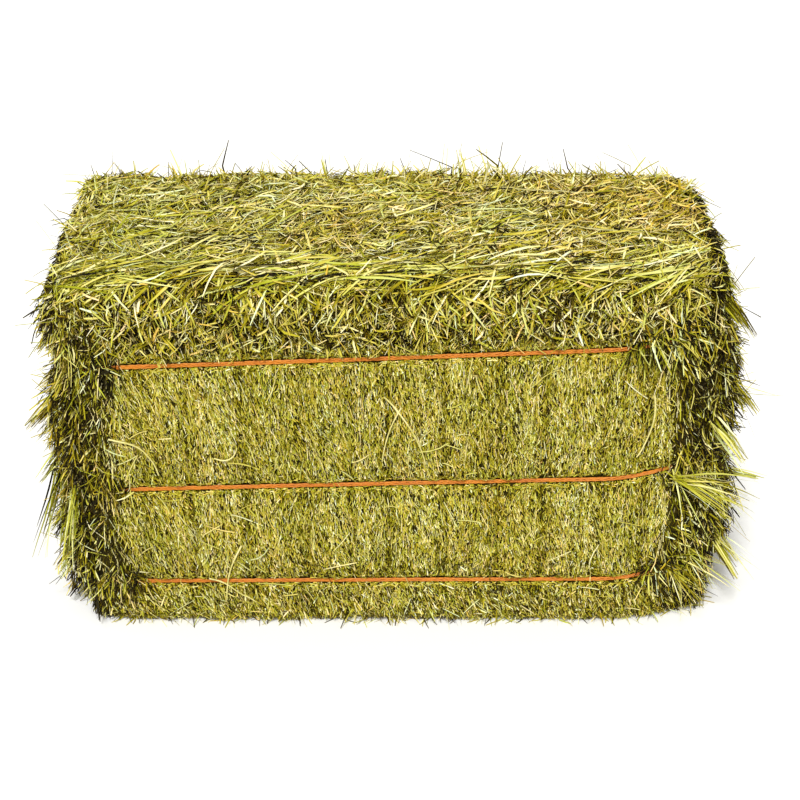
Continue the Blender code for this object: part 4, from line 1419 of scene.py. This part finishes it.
# %% Material of the twine
def twine_finish():
    finish = Finish("orange_twine")
    fibres = finish.noise(finish.place((900.0, 900.0, 900.0)), 1.0, 2.0)
    worn = finish.noise(finish.place((30.0, 30.0, 30.0)), 1.0, 2.0)
    stops = [(0.30, srgb(162, 80, 0)), (0.5, srgb(202, 117, 0)), (0.70, srgb(224, 146, 16))]
    colour = finish.node("ShaderNodeValToRGB", {"stops": stops}, [fibres * 0.7 + worn * 0.3])
    finish.surface(Base_Color=colour, Roughness=0.45)
    return finish.material


twine_material = twine_finish()
STRANDS = 5
STRAND_STEP = 0.0055
STRAND_RADIUS = 0.00115
STRAND_SWING = (0.0007, 0.0024)      # how far a strand winds outwards and upwards
TWIST_LENGTH = 0.055


def twine_corner(x_side):
    """A twine's turn round one end, seen from above, from the front to the end."""
    depth = float(half_depth(np.array(x_side * FLAKE_SPAN))) - TWINE_BITE + TWINE_REST
    wide = END_AT_TWINE - FLAKE_SPAN - 0.006
    corner = []
    for turn in range(0, 91, 15):
        a = math.radians(turn)
        x = END_AT_TWINE - wide + (wide + TWINE_REST) * math.sin(a)
        corner.append((x_side * x, -depth + END_CORNER * (1 - math.cos(a))))
    return corner


def twine_route(which):
    """The closed route of a twine, as the solids have it."""
    rows = {}
    for back in (False, True):
        rows[back] = []
        for x in np.linspace(-0.441, 0.441, 64):
            depth = float(half_depth(x)) - TWINE_BITE + TWINE_REST
            rows[back].append((x, depth if back else -depth, float(twine_height(which, x, back))))
    ends = {}
    for x_side in (-1, 1):
        z = float(twine_height(which, x_side * END_AT_TWINE, False))
        quarter = [(x, y, z) for x, y in twine_corner(x_side)]
        behind = [(x, -y, z) for x, y, z in reversed(quarter)]
        ends[x_side] = quarter + [(x_side * (END_AT_TWINE + TWINE_REST), 0.0, z)] + behind
    return rows[False] + ends[1] + rows[True][::-1] + ends[-1][::-1]


def even_steps(points, step, closed=True):
    """Points a fixed step apart along a route."""
    points = np.array(points)
    if closed:
        points = np.concatenate([points, points[:1]])
    spans = np.linalg.norm(np.diff(points, axis=0), axis=1)
    along = np.concatenate([[0], np.cumsum(spans)])
    count = max(4, int(round(along[-1] / step)))
    marks = np.linspace(0, along[-1], count + (0 if closed else 1), endpoint=not closed)
    return np.stack([np.interp(marks, along, points[:, axis]) for axis in range(3)], -1), marks

# %% [markdown]
# ## Strands, knot and tails
# Each strand is a thin tube along a line that winds round the twine's route. The knot is a short
# tangle at the back, and each of its two tails is three thin strands.

# %% Strands, knots and tails
def tube_mesh(centres, radius, sides, closed, flatten=1.0):
    """Quads of one tube along centre points."""
    count = len(centres)
    if closed:
        ahead = unit(np.roll(centres, -1, 0) - np.roll(centres, 1, 0))
    else:
        ahead = unit(np.gradient(centres, axis=0))
    guide = np.array([0.0, 0.0, 1.0]) if np.abs(ahead[:, 2]).mean() < 0.7 else np.array([0.0, 1.0, 0.0])
    across = unit(np.cross(ahead, guide))
    up = np.cross(across, ahead)
    turns = np.linspace(0, 2 * math.pi, sides, endpoint=False)
    radius = np.broadcast_to(radius, count)[:, None, None]
    rings = (centres[:, None] + across[:, None] * np.cos(turns)[None, :, None] * radius * flatten
             + up[:, None] * np.sin(turns)[None, :, None] * radius)
    return rings.reshape(-1, 3), ring_quads(count, sides, closed)


def twine(which):
    """One twine: five strands wound along its route, with a knot and two tails at the back."""
    centre, marks = even_steps(twine_route(which), STRAND_STEP)
    ahead = unit(np.roll(centre, -1, 0) - np.roll(centre, 1, 0))
    out = unit(np.cross(ahead, np.array([0.0, 0.0, -1.0])))
    turns = round(marks[-1] / TWIST_LENGTH) * 2 * math.pi * marks / (marks[-1] + STRAND_STEP)
    parts = []
    for strand in range(STRANDS):
        phase = turns + 2 * math.pi * strand / STRANDS
        wobble = 0.00022 * np.sin(marks * (190 + 37 * strand) + strand)
        offset_z = STRAND_SWING[1] * np.cos(phase) + wobble
        offset_out = STRAND_SWING[0] * np.sin(phase) + wobble
        line = centre + out * offset_out[:, None]
        line[:, 2] += offset_z
        parts.append(tube_mesh(line, STRAND_RADIUS, 5, True, 0.75))
    place = {"bottom": -0.12, "middle": 0.05, "top": -0.05}[which]
    level = float(twine_height(which, np.array(place), True))
    surface = HALF_DEPTH - TWINE_BITE
    knot = np.array([place, surface + TWINE_REST + 0.0038, level])
    a = np.linspace(0, 2 * math.pi, 40)
    wrap = np.stack([0.0058 * np.sin(a * 2) * 0.9, 0.0024 * np.sin(a * 3),
                     0.0040 * np.cos(a * 3) * 0.8], -1)
    parts.append(tube_mesh(knot + wrap, 0.0014, 6, False))
    hang = surface + TWINE_BITE + SIDE_SWELL + 0.0065
    for tip in (-1, 1):
        path = [knot + np.array([tip * 0.003, 0, 0]),
                (place + tip * 0.010, hang - 0.004, level - 0.008),
                (place + tip * 0.018, hang, level - 0.028),
                (place + tip * 0.024, hang + 0.001, level - 0.060)]
        smooth, _ = even_steps(path, 0.004, False)
        for strand in range(3):
            fray = np.linspace(0, 1, len(smooth)) ** 2
            line = smooth + np.array([0.0010, 0.0004, 0.0])[None] * (strand - 1) * (1 + 2 * fray)[:, None]
            parts.append(tube_mesh(line, 0.0008, 5, False))
    verts, faces = joined(parts)
    piece = make_mesh(f"baler_twine_{which}", verts, faces, None, twine_material)
    piece.data.shade_smooth()
    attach(piece, "root")
    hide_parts(f"twine_{which}")
    return len(faces) * 2, marks[-1]


for which in TWINE_HEIGHTS:
    print(which, "twine", twine(which))

# %% [markdown]
# ## Loose stems and blades
# The longest loose stems are pieces of their own. A stem is a round straw with a few joints; a
# blade is a long leaf, folded along its rib, widest a third of the way up and drawn out to a point.

# %% Material of the loose stems
def straw_finish():
    finish = Finish("loose_straw")
    streaks = finish.noise(finish.place((260.0, 260.0, 260.0)), 1.0, 3.0)
    slow = finish.noise(finish.place((18.0, 18.0, 18.0)), 1.0, 1.0)
    stops = [(0.30, srgb(176, 168, 78)), (0.48, srgb(212, 202, 116)),
             (0.60, srgb(232, 220, 150)), (0.80, srgb(246, 240, 196))]
    colour = finish.node("ShaderNodeValToRGB", {"stops": stops}, [streaks * 0.4 + slow * 0.6])
    finish.surface(Base_Color=colour, Roughness=0.5)
    return finish.material


straw_material = straw_finish()


def arc(start, stop, bow, steps):
    """Points from start to stop that bow to one side by a share of their distance."""
    start, stop = np.array(start), np.array(stop)
    along = stop - start
    side = np.array([-along[1], along[0]]) * bow
    t = np.linspace(0, 1, steps + 1)[:, None]
    return start + along * t + side * 4 * t * (1 - t)


def straw(name, side, start, stop, bow, wide, blade):
    """One loose stem or blade, laid on a side of the bale."""
    route = arc(start, stop, bow, 28)
    points, normals = on_side(side, route[:, 0], route[:, 1])
    lift = 0.0046 if side == "top" else 0.0040
    level = points @ outward(side)
    smooth = np.convolve(np.pad(level, 4, mode="edge"), np.ones(9) / 9, "valid")
    points = points + outward(side) * (np.maximum(smooth - level, 0) + lift)[:, None]
    normals = np.broadcast_to(outward(side), points.shape)
    t = np.linspace(0, 1, len(points))
    ahead = unit(np.gradient(points, axis=0))
    across = unit(np.cross(ahead, normals))
    if blade:
        shape = np.minimum(1, 0.45 + 1.8 * t) * np.clip((1 - t) * 1.6, 0.06, 1) ** 0.8
        rims = [(-1, 0.16), (0, -0.10), (1, 0.16), (0, -0.02)]
    else:
        joints = sum(np.exp(-((t - place) / 0.02) ** 2) for place in (0.22, 0.61))
        shape = (1 - 0.3 * t) * (1 + 0.35 * joints)
        rims = [(math.cos(a), math.sin(a)) for a in np.linspace(0, 2 * math.pi, 7)[:-1]]
    half = (wide / 2 * shape)[:, None]
    rings = np.stack([points + across * half * a + normals * half * b for a, b in rims], 1)
    quads = ring_quads(*rings.shape[:2])
    piece = make_mesh(f"straw_{name}", rings.reshape(-1, 3), quads, None, straw_material)
    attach(piece, "root")
    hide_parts(name)

# %% [markdown]
# ## Where they lie
# Each row is one stem: where it starts and stops on its side, how much it bows and how wide it
# is. The clearest ones in the photo are at their places.

# %% Where the loose stems lie
# start, stop, bow, width
FRONT_STEMS = [
    ((-0.412, 0.335), (-0.345, 0.268), 0.18, 0.0030),
    ((-0.262, 0.300), (-0.228, 0.318), -0.30, 0.0024),
    ((-0.228, 0.150), (-0.255, 0.045), -0.06, 0.0028),
    ((-0.280, 0.085), (-0.208, 0.036), 0.03, 0.0026),
    ((0.392, 0.545), (0.386, 0.425), 0.05, 0.0026),
    ((-0.015, 0.400), (0.045, 0.290), 0.08, 0.0028),
    ((0.010, 0.385), (-0.018, 0.295), -0.05, 0.0022),
    ((0.372, 0.400), (0.352, 0.300), 0.10, 0.0030),
]
TOP_BLADES = [
    ((-0.430, 0.120), (-0.210, 0.150), 0.04, 0.0060),
    ((-0.400, -0.060), (-0.160, -0.020), -0.05, 0.0050),
    ((-0.300, -0.165), (-0.060, -0.176), 0.03, 0.0045),
    ((-0.120, 0.070), (0.110, 0.050), 0.06, 0.0060),
    ((-0.060, -0.110), (0.190, -0.080), 0.05, 0.0050),
    ((0.140, 0.140), (0.370, 0.115), -0.04, 0.0060),
    ((0.210, -0.010), (0.430, -0.050), 0.04, 0.0055),
    ((0.110, -0.170), (0.350, -0.162), -0.03, 0.0045),
]
BACK_STEMS = [
    ((-0.330, 0.400), (-0.250, 0.300), 0.10, 0.0030),
    ((0.200, 0.420), (0.290, 0.330), -0.08, 0.0028),
    ((0.280, 0.190), (0.240, 0.110), 0.06, 0.0026),
    ((-0.260, 0.170), (-0.330, 0.100), 0.08, 0.0028),
]
LOOSE_SETS = [
    ("loose_stem_front", "front", FRONT_STEMS, False),
    ("loose_blade_top", "top", TOP_BLADES, True),
    ("loose_stem_back", "back", BACK_STEMS, False),
]
for name, side, rows, blade in LOOSE_SETS:
    for number, row in enumerate(rows, 1):
        straw(f"{name}_{number:02d}", side, *row, blade)
    print(name, len(rows))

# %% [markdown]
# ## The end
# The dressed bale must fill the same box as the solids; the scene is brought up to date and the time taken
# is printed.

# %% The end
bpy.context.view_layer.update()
print("made in", round(time.time() - started, 1), "s")
